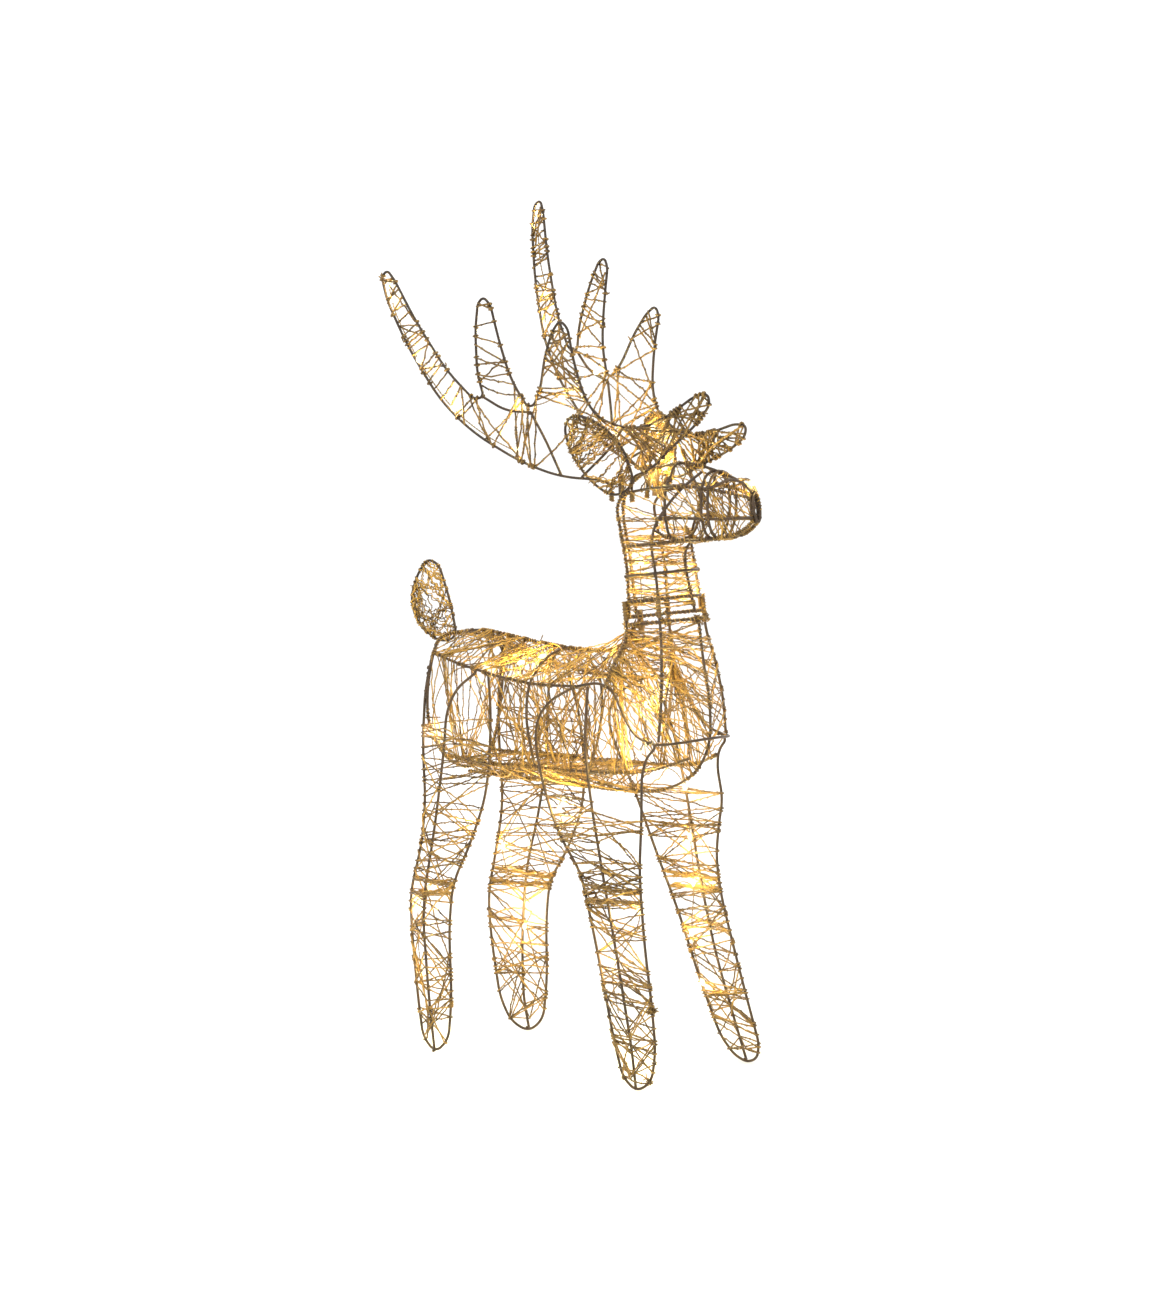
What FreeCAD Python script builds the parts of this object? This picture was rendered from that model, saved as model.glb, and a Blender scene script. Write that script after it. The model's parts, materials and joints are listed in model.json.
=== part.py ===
"""Light-up yard reindeer: a bent and welded wire figure, about one metre tall, wound with fine thread wire.

Frame: +X is the way the reindeer faces, +Y its left side, +Z up, origin on the ground between the feet.
Outlines are given in millimetres on a figure 1000 mm tall and are scaled to the height in the sheet.
"""
import FreeCAD
import Part
import Sketcher
import math
import os
import random

Vector = FreeCAD.Vector
UP = Vector(0, 0, 1)

# The driving dimensions, in millimetres and degrees.
DIMENSIONS = {
    "figure_height": 1000.0,     # ground to the highest tine
    "rod_dia": 3.2,              # main rods
    "tine_rod_dia": 3.0,         # rods of the antlers, ears and tail
    "thread_dia": 1.6,           # fine wire wound on the rods
    "lead_dia": 1.6,             # insulated wire of the light string
    "drop_dia": 6.0,             # moulded drop round each light
    "drop_length": 9.0,
    "front_foot_half": 106.0,    # feet, from the middle plane
    "rear_foot_half": 84.0,
    "front_splay": 0.104,        # how far a front leg leans in for each unit of height
    "rear_splay": 0.044,
    "outer_rod_gap": 9.0,        # how far the third rod of a leg stands outside its loop
    "neck_tilt": 7.3,            # the neck leans back
    "collar_radius": 46.5,       # lower neck, at the seam
    "seam_ring_radius": 42.5,    # upper neck, just above the seam
    "running_gap": 0.06,         # radial clearance of pins and posts in their sleeves
    "sleeve_wall": 1.0,
    "sleeve_length": 22.0,
    "socket_length": 11.0,
    "band_dia": 2.0,             # wire of the knee bands
    "antler_root_half": 30.0,    # antler roots, from the middle plane
    "antler_yaw": 7.9,           # the antlers spread towards the rear
    "antler_lean": 4.1,          # and outward
    "left_antler_pitch": 17.1,   # the left antler stands more upright
    "inlet_dia": 13.0,           # low-voltage inlet under the belly
    "inlet_length": 26.0,
    "inlet_bore_dia": 5.5,
    "inlet_bore_depth": 12.0,
    "link_dia": 7.0,             # plug and socket of the light string at each joint
    "link_bore_dia": 4.0,
    "link_length": 14.0,
}

doc = FreeCAD.newDocument("yard_reindeer")
sheet = doc.addObject("Spreadsheet::Sheet", "dims")
for row, (alias, number) in enumerate(DIMENSIONS.items(), start=1):
    sheet.set("A%d" % row, alias)
    sheet.set("B%d" % row, str(number))
    sheet.setAlias("B%d" % row, alias)
doc.recompute()

PARTS = {}                       # node name -> document object


def dim(alias):
    """A driving dimension, read back from the sheet."""
    return float(sheet.get(alias))


SCALE = dim("figure_height") / 1000.0
ROD = dim("rod_dia") / 2
THREAD = dim("thread_dia") / 2


def vec(point):
    """A point of an outline, at the figure's real size."""
    return Vector(*point) * SCALE


# ---------------------------------------------------------------- bent rods

def bent_wire(points, closed=False):
    """Straight runs joined by tangent arcs, each as large as its two runs allow."""
    count = len(points)
    order = list(range(1, count - 1)) + ([count - 1, 0] if closed else [])
    edges = []
    last = None if closed else points[0]
    for i in order:
        corner = points[i]
        back = points[i - 1] - corner
        ahead = points[(i + 1) % count] - corner
        trim = 0.45 * min(back.Length, ahead.Length)
        back.normalize()
        ahead.normalize()
        half_turn = (math.pi - back.getAngle(ahead)) / 2
        radius = trim / math.tan(half_turn)
        inward = back + ahead
        inward.normalize()
        middle = corner + inward * (radius / math.cos(half_turn) - radius)
        start, end = corner + back * trim, corner + ahead * trim
        if last is not None:
            edges.append(Part.LineSegment(last, start).toShape())
        edges.append(Part.Arc(start, middle, end).toShape())
        last = end
        if len(edges) == 1:
            first = start
    if closed:
        edges.append(Part.LineSegment(last, first).toShape())
    else:
        edges.append(Part.LineSegment(last, points[-1]).toShape())
    return Part.Wire(edges)


def rod(name, wire, diameter="rod_dia"):
    """A round rod swept along a bent wire; its section is bound to the sheet."""
    path = doc.addObject("Part::Feature", name + "_line")
    path.Shape = wire
    edge = wire.Edges[0]
    start = edge.valueAt(edge.FirstParameter)
    along = edge.tangentAt(edge.FirstParameter)
    section = doc.addObject("Part::Circle", name + "_section")
    section.setExpression("Radius", "dims.%s / 2" % diameter)
    section.Placement = FreeCAD.Placement(start, FreeCAD.Rotation(UP, along))
    sweep = doc.addObject("Part::Sweep", name + "_rod")
    sweep.Sections = [section]
    sweep.Spine = (path, [])
    sweep.Solid = True
    return sweep


def rods(name, lines, diameter="rod_dia"):
    """One node of one or more rods. Each line is (points, closed)."""
    wires = [bent_wire(points, closed) for points, closed in lines]
    sweeps = [rod("%s_%d" % (name, i), wire, diameter) for i, wire in enumerate(wires)]
    if len(sweeps) == 1:
        node = sweeps[0]
    else:
        node = doc.addObject("Part::Compound", name)
        node.Links = sweeps
    node.Label = name
    PARTS[name] = node
    return wires


def outline(points, closed=False):
    return ([vec(point) for point in points], closed)


def mirror(points):
    return [(x, -y, z) for x, y, z in points]


def group(name, solids):
    """A node of many small equal or similar solids."""
    node = doc.addObject("Part::Feature", name)
    node.Shape = Part.makeCompound(solids)
    node.Label = name
    PARTS[name] = node


# ---------------------------------------------------------------- torso

SPINE = [(-188, 0, 486), (-150, 0, 493), (-88, 0, 486), (-27, 0, 479), (30, 0, 478),
         (62, 0, 481), (78, 0, 494)]
KEEL = [(-168, 0, 324), (-60, 0, 322), (50, 0, 320), (110, 0, 321), (150, 0, 333), (179, 0, 354),
        (194, 0, 386), (193, 0, 430), (184, 0, 470)]
SIDE_RAIL = [(-168, 62, 469), (-134, 66, 460), (-70, 66, 448), (-10, 65, 441), (48, 61, 443)]
BELLY_RAIL = [(-168, 40, 346), (-110, 50, 343), (-20, 53, 345), (70, 53, 345), (140, 44, 351),
              (184, 24, 368)]
CHEST_HOOP = [(156, -65, 386), (172, -62, 385), (186, -42, 387), (194, -16, 389), (194, 16, 389),
              (186, 42, 387), (172, 62, 385), (156, 65, 386)]
RUMP_HOOP = [(-188, 0, 487), (-182, 36, 484), (-168, 62, 469), (-173, 67, 430), (-176, 64, 385),
             (-170, 44, 345), (-168, 0, 324), (-170, -44, 345), (-176, -64, 385), (-173, -67, 430),
             (-168, -62, 469), (-182, -36, 484)]
WAIST_HOOP = [(-20, 0, 480), (-20, 38, 468), (-20, 65, 441), (-20, 69, 400), (-20, 54, 346), (-20, 26, 324),
              (-20, -26, 324), (-20, -54, 346), (-20, -69, 400), (-20, -65, 441), (-20, -38, 468)]
TAIL = [(-186, 0, 480), (-214, 0, 474), (-248, 0, 492), (-261, 0, 522), (-249, 0, 553), (-233, 0, 572),
        (-215, 0, 566), (-198, 0, 526)]

# ---------------------------------------------------------------- neck seam

tilt = math.radians(dim("neck_tilt"))
NECK_AXIS = Vector(-math.sin(tilt), 0, math.cos(tilt))
NECK_FRONT = Vector(math.cos(tilt), 0, math.sin(tilt))
SEAM = vec((130, 0, 517))
POST_ANGLES = (60, -60, 125, -125)
HEAD_RING_HEIGHT = 9.0 * SCALE   # the head section's lowest ring, above the collar
POST_HEIGHT = 26.0 * SCALE


def on_neck(height, radius, angle):
    """A point round the neck axis; angle 0 is the front."""
    turn = math.radians(angle)
    across = NECK_FRONT * math.cos(turn) + Vector(0, 1, 0) * math.sin(turn)
    return SEAM + NECK_AXIS * height + across * radius


def ring_points(height, radius, count=12):
    return [on_neck(height, radius, 360.0 * i / count) for i in range(count)]


collar = dim("collar_radius") * SCALE
seam_ring = dim("seam_ring_radius") * SCALE
BODY_LINES = {}                  # centre lines, kept for winding thread on them

BODY_LINES["spine"] = rods("spine_rod", [(outline(SPINE)[0] + [on_neck(0, collar, 180)], False)])[0]
BODY_LINES["keel"] = rods("keel_rod", [(outline(KEEL)[0] + [on_neck(0, collar, 0)], False)])[0]
BODY_LINES["rail_left"], BODY_LINES["rail_right"] = rods(
    "side_rails", [outline(SIDE_RAIL), outline(mirror(SIDE_RAIL))])
BODY_LINES["belly_left"], BODY_LINES["belly_right"] = rods(
    "belly_rails", [outline(BELLY_RAIL), outline(mirror(BELLY_RAIL))])
rods("chest_hoop", [outline(CHEST_HOOP)])
rods("rump_hoop", [outline(RUMP_HOOP, closed=True)])
rods("waist_hoop", [outline(WAIST_HOOP, closed=True)])
tail_line = rods("tail_loop", [outline(TAIL, closed=True)], "tine_rod_dia")[0]
rods("neck_collar", [(ring_points(0, collar), True)])

# The four lower neck rods rise from the chest hoop and the shoulder arches and end in straight plug posts.
LOWER_NECK = {60: [(168, 61, 388), (168, 56, 430), (162, 48, 474)],
              125: [(92, 62, 446), (97, 50, 472)]}
neck_post_lines = []
for angle in POST_ANGLES:
    foot = [(x, y if angle > 0 else -y, z) for x, y, z in LOWER_NECK[abs(angle)]]
    points = [vec(point) for point in foot]
    points += [on_neck(-14 * SCALE, collar, angle), on_neck(POST_HEIGHT, collar, angle)]
    neck_post_lines.append((points, False))
neck_wires = rods("neck_posts", neck_post_lines)
BODY_LINES["neck"] = neck_wires

# ---------------------------------------------------------------- legs

# Each loop is one rod, as (x, z): down the front edge, round the foot and up to the shoulder or the rail.
SHOULDER_ARCH = [(-8, 382), (-6, 404), (10, 424), (46, 443), (82, 449), (103, 440), (122, 410),
                 (140, 391)]
LEGS = {
    "front_right": {
        "loop": [(172, 385), (156, 371), (151, 350), (155, 300), (157, 240), (172, 159), (187, 100),
                 (197, 48), (194, 15), (174, 1.6), (153, 15), (136, 56), (104, 151), (84, 205),
                 (72, 235), (36, 276), (14, 316), (-2, 356)] + SHOULDER_ARCH,
        "outer": [(174, 4), (170, 50), (138, 156), (107, 253), (86, 322), (72, 385), (66, 443)],
        "knee": 205, "closed": True},
    "front_left": {
        "loop": [(168, 384), (152, 366), (149, 345), (154, 310), (146, 280), (139, 240), (143, 195),
                 (163, 110), (185, 26), (181, 8), (166, 1.6), (148, 8), (129, 29), (104, 92),
                 (78, 172), (50, 240), (24, 310), (2, 355)] + SHOULDER_ARCH,
        "outer": [(164, 4), (146, 42), (121, 128), (106, 215), (96, 300), (82, 380), (66, 443)],
        "knee": 200, "closed": True},
    "rear_right": {
        "loop": [(-81, 449), (-76, 410), (-75, 350), (-81, 303), (-103, 247), (-127, 203), (-131, 150),
                 (-124, 70), (-127, 20), (-147, 1.6), (-167, 18), (-176, 60), (-189, 140),
                 (-193, 185), (-177, 245), (-173, 295), (-180, 360), (-178, 425), (-168, 467)],
        "outer": [(-147, 4), (-152, 70), (-166, 175), (-150, 260), (-139, 350), (-136, 402),
                  (-122, 430), (-98, 450)],
        "knee": 187, "closed": False},
    "rear_left": {
        "loop": [(-72, 447), (-55, 400), (-48, 340), (-52, 284), (-78, 230), (-108, 190), (-115, 140),
                 (-116, 70), (-124, 20), (-148, 1.6), (-176, 12), (-192, 40), (-203, 110),
                 (-206, 165), (-190, 221), (-177, 280), (-181, 350), (-179, 420), (-168, 467)],
        "outer": [(-148, 4), (-162, 40), (-162, 110), (-152, 200), (-128, 272), (-114, 340),
                  (-110, 400), (-98, 450)],
        "knee": 180, "closed": False},
}


def leg_side(name, height):
    """The side of the middle plane, and the distance from it, of a leg's loop at a height."""
    place = name.split("_")[0]
    sign = 1 if name.endswith("left") else -1
    return sign, dim(place + "_foot_half") - dim(place + "_splay") * height


def leg_point(name, x, z, outward=0.0):
    sign, half = leg_side(name, z)
    return vec((x, sign * (half + outward), z))


def leg_edges(wire, height):
    """Front and rear edge of a leg's loop at a height, from its centre line."""
    xs = []
    for edge in wire.Edges:
        ends = [vertex.Point.z for vertex in edge.Vertexes]
        if min(ends) <= height <= max(ends) and max(ends) > min(ends):
            share = (height - ends[0]) / (ends[1] - ends[0])
            span = edge.LastParameter - edge.FirstParameter
            xs.append(edge.valueAt(edge.FirstParameter + share * span).x)
    return min(xs), max(xs)


leg_wires = {}
for leg, shape in LEGS.items():
    loop = [leg_point(leg, x, z) for x, z in shape["loop"]]
    leg_wires[leg] = [rods("leg_%s_loop" % leg, [(loop, shape["closed"])])[0]]
    gap = dim("outer_rod_gap")
    last = len(shape["outer"]) - 1
    outer = [leg_point(leg, x, z, outward=1.5 if i in (0, last) else gap)
             for i, (x, z) in enumerate(shape["outer"])]
    leg_wires[leg].append(rods("leg_%s_outer_rod" % leg, [(outer, False)])[0])

# ---------------------------------------------------------------- knee bands

def leg_section(leg, height):
    """Centres of the three rods of a leg at a height, in figure units: rear, outer, front."""
    loop, outer = leg_wires[leg]
    rear, front = leg_edges(loop, height * SCALE)
    middle = leg_edges(outer, height * SCALE)[0]
    sign, half = leg_side(leg, height)
    gap = dim("outer_rod_gap")
    return [(rear / SCALE, sign * half, height), (middle / SCALE, sign * (half + gap), height),
            (front / SCALE, sign * half, height)]


def band(leg, height, slope):
    """A closed flat band of wire that hugs the three rods of a leg from outside."""
    rear, outer, front = leg_section(leg, height)
    sign = 1 if outer[1] > 0 else -1
    out = ROD / SCALE + dim("band_dia") / 2
    corners = [(rear[0] - out, rear[1] + sign), (outer[0] - 8, outer[1] + sign * out),
               (outer[0] + 8, outer[1] + sign * out), (front[0] + out, front[1] + sign),
               (front[0] - 4, front[1] - sign * out), (rear[0] + 4, rear[1] - sign * out)]
    reach = front[0] - rear[0]
    return outline([(x, y, height + slope * (x - rear[0]) / reach) for x, y in corners], closed=True)


rods("knee_bands", [band(leg, shape["knee"] + rise, slope)
                    for leg, shape in LEGS.items() for rise, slope in ((0, 4), (17, -3))], "band_dia")

# ---------------------------------------------------------------- wound thread

chance = random.Random(7)


def spread(wire, count=120):
    """Evenly spaced points along a centre line."""
    return wire.discretize(count)


def strand(start, end):
    """One straight stretch of thread, a little longer than the space between the rods that it crosses."""
    along = end - start
    over = Vector(along)
    over.normalize()
    over = over * THREAD * 2
    return Part.makeCylinder(THREAD, along.Length + 2 * over.Length, start - over, along)


RAIL_END = 0.02                  # share of each rail left bare at its ends
IN_TURN = 0.75                   # share of the stretches that go to the next rail in turn
SHORTEST_STRETCH = 6 * THREAD


def wind(rails, turns, slip, jump=1):
    """Thread wound round a cage of rails, from their low ends to their high ends.

    The rails are lists of points that run the same way. Each stretch goes from one rail to the next in turn,
    or to one chosen freely, and climbs by an uneven step; slip is how far it may stray either way, as a share
    of the rail.
    """
    stretches = []
    rail = 0
    last = None
    for turn in range(turns):
        share = RAIL_END + (1 - 2 * RAIL_END) * (turn + 0.5) / turns + chance.uniform(-slip, slip)
        share = min(1 - RAIL_END, max(RAIL_END, share))
        line = rails[rail % len(rails)]
        point = line[min(len(line) - 1, int(share * len(line)))]
        if last is not None and (point - last).Length > SHORTEST_STRETCH:
            stretches.append(strand(last, point))
        last = point
        rail += jump if chance.random() < IN_TURN else chance.randrange(1, len(rails))
    return stretches


ALONG_STRETCH = (0.08, 0.3, 0.5, 0.7, 0.92)   # where a laced stretch is tried for lying inside its loop


class FlatLoop:
    """The border of a flat loop, as points in order, on which thread can be laced from rod to rod."""

    def __init__(self, border):
        self.border = border
        count = len(border)
        normal = (border[count // 3] - border[0]).cross(border[2 * count // 3] - border[0])
        normal.normalize()
        across = border[count // 2] - border[0]
        across.normalize()
        rise = normal.cross(across)
        self.flat = [((point - border[0]).dot(across), (point - border[0]).dot(rise)) for point in border]

    def inside(self, x, y):
        within = False
        for (x0, y0), (x1, y1) in zip(self.flat, self.flat[1:] + self.flat[:1]):
            if (y0 > y) != (y1 > y) and x < x0 + (y - y0) * (x1 - x0) / (y1 - y0):
                within = not within
        return within

    def length(self, i, j):
        return (self.border[i] - self.border[j]).Length / SCALE

    def crosses(self, i, j):
        (x0, y0), (x1, y1) = self.flat[i], self.flat[j]
        return all(self.inside(x0 + (x1 - x0) * share, y0 + (y1 - y0) * share) for share in ALONG_STRETCH)

    def stretch(self, i, j):
        return strand(self.border[i], self.border[j])


TRIES = 60                       # for each stretch
FRESH_START = 12                 # tries without success before lacing goes on from another place


def tangle(loop, count, shortest, longest):
    """Thread crossed at random over a loop, each stretch starting where the last one ended."""
    stretches = []
    here = chance.randrange(len(loop.border))
    tries = 0
    while len(stretches) < count and tries < count * TRIES:
        tries += 1
        there = chance.randrange(len(loop.border))
        if shortest < loop.length(here, there) < longest and loop.crosses(here, there):
            stretches.append(loop.stretch(here, there))
            here = there
        elif tries % FRESH_START == 0:
            here = chance.randrange(len(loop.border))
    return stretches


FACING_TRIED = 45                # places tried for the one that faces the thread
STRAY = 1.5                      # a farther place may be taken for up to this many times the nearest's length
FULL = 3                         # threads at one place, after which lacing goes on at the barest one


def zigzag(loop, count, shortest, longest):
    """Thread laced to and fro between rods that face each other, moving a little along them at each turn."""
    stretches = []
    places = len(loop.border)
    visits = [0] * places
    here, step = None, 1
    for _ in range(count):
        if here is None or visits[here] >= FULL:
            here = min(range(places), key=lambda place: (visits[place], chance.random()))
        visits[here] += 1
        facing = [(loop.length(here, there) * chance.uniform(1, STRAY), there)
                  for there in chance.sample(range(places), FACING_TRIED)
                  if shortest < loop.length(here, there) < longest and loop.crosses(here, there)]
        if facing:
            there = min(facing)[1]
            visits[there] += 1
            stretches.append(loop.stretch(here, there))
            step = -step
            here = (there + step * chance.choice((0, 1, 2))) % places
        else:
            here = None
    return stretches


def lying(line, where):
    """The points of a centre line for which a condition holds."""
    return [point for point in line if where(point)]


FOOT_BARE = 12                   # height of a foot without thread
LEG_WOUND_TO = {"front": 320, "rear": 400}
LEG_LEVELS = 91


def leg_winding(leg):
    """Close turns round the three rods of a leg, and a few that stray."""
    reach = LEG_WOUND_TO[leg.split("_")[0]] - FOOT_BARE
    sections = [leg_section(leg, FOOT_BARE + reach * level / (LEG_LEVELS - 1)) for level in range(LEG_LEVELS)]
    cage = [[vec(section[i]) for section in sections] for i in range(3)]
    return wind(cage, turns=94, slip=0.07) + wind(cage, turns=50, slip=0.14, jump=2)


for place in ("front", "rear"):
    group("leg_windings_" + place, leg_winding(place + "_left") + leg_winding(place + "_right"))

TORSO_ENDS, CHEST_STARTS = 95 * SCALE, 60 * SCALE   # the two windings overlap behind the shoulders
RUMP_ENDS = -130 * SCALE
SHOULDER_REACH = (45 * SCALE, 172 * SCALE)
CHEST_LOW = 340 * SCALE
COLLAR_CLEARANCE = 4 * SCALE


def of_torso(point):
    return point.x < TORSO_ENDS


def of_rump(point):
    return point.x < RUMP_ENDS


def of_shoulder(point):
    return SHOULDER_REACH[0] < point.x < SHOULDER_REACH[1]


def of_chest(point):
    below_collar = (point - SEAM).dot(NECK_AXIS) < -COLLAR_CLEARANCE
    return point.x > CHEST_STARTS and point.z > CHEST_LOW and below_collar


TORSO_ORDER = ("spine", "rail_left", "belly_left", "keel", "belly_right", "rail_right")
torso = [lying(spread(BODY_LINES[name]), of_torso) for name in TORSO_ORDER]
chest = [lying(spread(line), of_chest) for line in (
    BODY_LINES["keel"], neck_wires[0], neck_wires[2], BODY_LINES["spine"], neck_wires[3], neck_wires[1])]
INLET_AT = vec((-112, 0, 331.5))
PLUG_ROOM = Vector(70, 0, 0) * SCALE   # behind the inlet, kept free of thread for its plug
plug_way = Part.LineSegment(INLET_AT, INLET_AT - PLUG_ROOM).toShape()
spine, rail_left, belly_left, keel, belly_right, rail_right = torso


def lengthwise(rails, count):
    """Threads that run along the body, each crossing a few times between neighbouring rails."""
    return [stretch for _ in range(count) for stretch in wind(rails, turns=6, slip=0.13)]


rump = [lying(rail, of_rump) for rail in torso]
shoulders = []
for post, belly in ((2, "belly_left"), (3, "belly_right")):
    post_line = lying(spread(neck_wires[post]), of_chest)
    belly_line = lying(spread(BODY_LINES[belly]), of_shoulder)
    shoulders += wind((post_line, belly_line), turns=22, slip=0.5)
body_thread = (wind(torso, turns=84, slip=0.15) + wind(torso, turns=84, slip=0.45, jump=2)
               + wind(chest, turns=96, slip=0.09) + wind(chest, turns=56, slip=0.3, jump=2)
               + wind(rump, turns=54, slip=0.6) + shoulders
               + lengthwise((belly_left, keel), 10) + lengthwise((belly_right, keel), 10)
               + lengthwise((belly_left, belly_right), 5)
               + lengthwise((rail_left, spine), 6) + lengthwise((rail_right, spine), 6))
group("body_winding", [stretch for stretch in body_thread
                       if stretch.distToShape(plug_way)[0] > dim("inlet_dia") / 2])
group("tail_winding", tangle(FlatLoop(spread(tail_line, 90)), count=48, shortest=18, longest=80))

# ---------------------------------------------------------------- head section

CROWN = [(76, 0, 596), (68, 0, 626), (66, 0, 652), (82, 0, 676), (118, 0, 691), (158, 0, 698),
         (196, 0, 691), (232, 0, 680), (254, 0, 667)]
TEMPLE = [(101, 34, 580), (90, 33, 620), (84, 33, 648), (98, 35, 662), (135, 35, 669), (180, 30, 673),
          (222, 17, 668), (254, 6, 661)]
CHEEK = [(144, 36, 572), (136, 36, 606), (142, 35, 630), (162, 32, 656), (177, 27, 673), (190, 12, 688)]
LOWER_CHEEK = [(144, 34, 634), (165, 31, 637), (204, 24, 636), (258, 7, 639)]
THROAT = [(157, 0, 580), (157, 0, 600), (168, 0, 611)]
JAW = [(134, 30, 622), (150, 20, 612), (180, 14, 611), (211, 10, 614), (241, 7, 622), (257, 5, 636)]
NOSE_BRIDGE = [(203, 26, 670), (216, 22, 673), (229, 15, 681), (243, 8, 679), (254, 4, 667)]
BROW_HOOP = [(150, 0, 698), (150, 12, 693), (152, 31, 665), (154, 33, 640), (151, 22, 614), (150, 0, 610),
             (151, -22, 614), (154, -33, 640), (152, -31, 665), (150, -12, 693)]
MUZZLE_HOOP = [(0, 0, 690), (0, 15, 685), (2, 26, 670), (2, 26, 637), (1, 14, 614), (1, -14, 614),
               (2, -26, 637), (2, -26, 670), (0, -15, 685)]
MUZZLE_HOOP_AT = (198, 207)
MUZZLE_END = (254, 650)
# The ear's loop is flat: (x, z), with the distance from the middle plane from the tilt of its plane.
EAR_OUTLINE = [(112, 672), (106, 711), (92, 732), (70, 747), (50, 750), (39, 735), (42, 706), (58, 676),
               (84, 656)]
EAR = [(x, 0.264 * z - 0.28 * x - 112.1, z) for x, z in EAR_OUTLINE]

head_starts = {angle: [on_neck(HEAD_RING_HEIGHT, seam_ring, angle)] for angle in (0, 180) + POST_ANGLES}

crown_line = rods("crown_rod", [(head_starts[180] + outline(CROWN)[0], False)])[0]
throat_line = rods("throat_rod", [(head_starts[0] + outline(THROAT)[0], False)])[0]
temples = rods("temple_rods", [(head_starts[125] + outline(TEMPLE)[0], False),
                               (head_starts[-125] + outline(mirror(TEMPLE))[0], False)])
cheeks = rods("cheek_rods", [(head_starts[60] + outline(CHEEK)[0], False),
                             (head_starts[-60] + outline(mirror(CHEEK))[0], False)])
ears = [rods("ear_loop_left", [outline(EAR, closed=True)], "tine_rod_dia")[0],
        rods("ear_loop_right", [outline(mirror(EAR), closed=True)], "tine_rod_dia")[0]]
lower = rods("lower_cheek_rods", [outline(LOWER_CHEEK), outline(mirror(LOWER_CHEEK))])
jaw = rods("jaw_rods", [outline(JAW), outline(mirror(JAW))])
rods("nose_bridge_rods", [outline(NOSE_BRIDGE), outline(mirror(NOSE_BRIDGE))])
rods("brow_hoop", [outline(BROW_HOOP, closed=True)])
rods("muzzle_hoops", [outline([(x + start, y, z) for x, y, z in MUZZLE_HOOP], closed=True)
                      for start in MUZZLE_HOOP_AT])


END_RING_HALF = (6, 16)          # half its width and half its height
END_RING_RAKE = 0.15             # its top leans back
END_RING_CORNERS = 10


def end_ring(offset):
    """One of the two rings round the end of the muzzle."""
    x, z = MUZZLE_END
    points = []
    for i in range(END_RING_CORNERS):
        turn = 2 * math.pi * i / END_RING_CORNERS
        rise = END_RING_HALF[1] * math.cos(turn)
        points.append((x + offset - END_RING_RAKE * rise, END_RING_HALF[0] * math.sin(turn), z + rise))
    return outline(points, closed=True)


NECK_RINGS = [(9, dim("seam_ring_radius")), (26, dim("seam_ring_radius")), (55, dim("seam_ring_radius")),
              (88, 40)]          # height above the collar, and radius

rods("muzzle_end_rings", [end_ring(0), end_ring(3.6)])
rods("neck_rings", [(ring_points(height * SCALE, radius * SCALE), True) for height, radius in NECK_RINGS])


def placed(shape, point, along):
    """A copy of a shape, standing on a point and turned from +Z to a direction."""
    copy = shape.copy()
    copy.Placement = FreeCAD.Placement(point, FreeCAD.Rotation(UP, along))
    return copy


def tube(name, bore_dia, wall, length, closed_end=False):
    """A thin tube, standing on its own origin; a closed one has a floor as thick as its wall."""
    outer = doc.addObject("Part::Cylinder", name + "_outer")
    outer.setExpression("Radius", "(%s) / 2 + %s" % (bore_dia, wall))
    outer.setExpression("Height", length)
    bore = doc.addObject("Part::Cylinder", name + "_bore")
    bore.setExpression("Radius", "(%s) / 2" % bore_dia)
    bore.setExpression("Height", length + " * 2")
    floor = wall if closed_end else "-" + length + " / 2"
    bore.setExpression("Placement.Base.z", floor)
    cut = doc.addObject("Part::Cut", name + "_tube")
    cut.Base, cut.Tool = outer, bore
    doc.recompute()
    return cut.Shape


SLEEVE_FOOT = 5 * SCALE          # above the collar
sleeve = tube("sleeve", "dims.rod_dia + 2 * dims.running_gap", "dims.sleeve_wall", "dims.sleeve_length")
group("head_sleeves", [placed(sleeve, on_neck(SLEEVE_FOOT, collar, angle), NECK_AXIS)
                       for angle in POST_ANGLES])

NECK_WOUND_FROM, NECK_WOUND_TO = 14 * SCALE, 622 * SCALE
FACE_BACK, FACE_LOW = 60 * SCALE, 608 * SCALE


def of_neck(point):
    return (point - SEAM).dot(NECK_AXIS) > NECK_WOUND_FROM and point.z < NECK_WOUND_TO


def of_face(point):
    return point.x > FACE_BACK and point.z > FACE_LOW


neck_cage = [lying(spread(line), of_neck) for line in (
    throat_line, cheeks[0], temples[0], crown_line, temples[1], cheeks[1])]
head_cage = [lying(spread(line), of_face) for line in (
    crown_line, temples[0], lower[0], jaw[0], jaw[1], lower[1], temples[1])]
head_thread = (wind(neck_cage, turns=92, slip=0.08) + wind(neck_cage, turns=34, slip=0.2, jump=2)
               + wind(head_cage, turns=104, slip=0.07) + wind(head_cage, turns=34, slip=0.18, jump=3))
group("ear_windings", [stretch for ear in ears
                       for stretch in tangle(FlatLoop(spread(ear, 90)), count=74, shortest=15, longest=60)])

# ---------------------------------------------------------------- antlers

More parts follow.
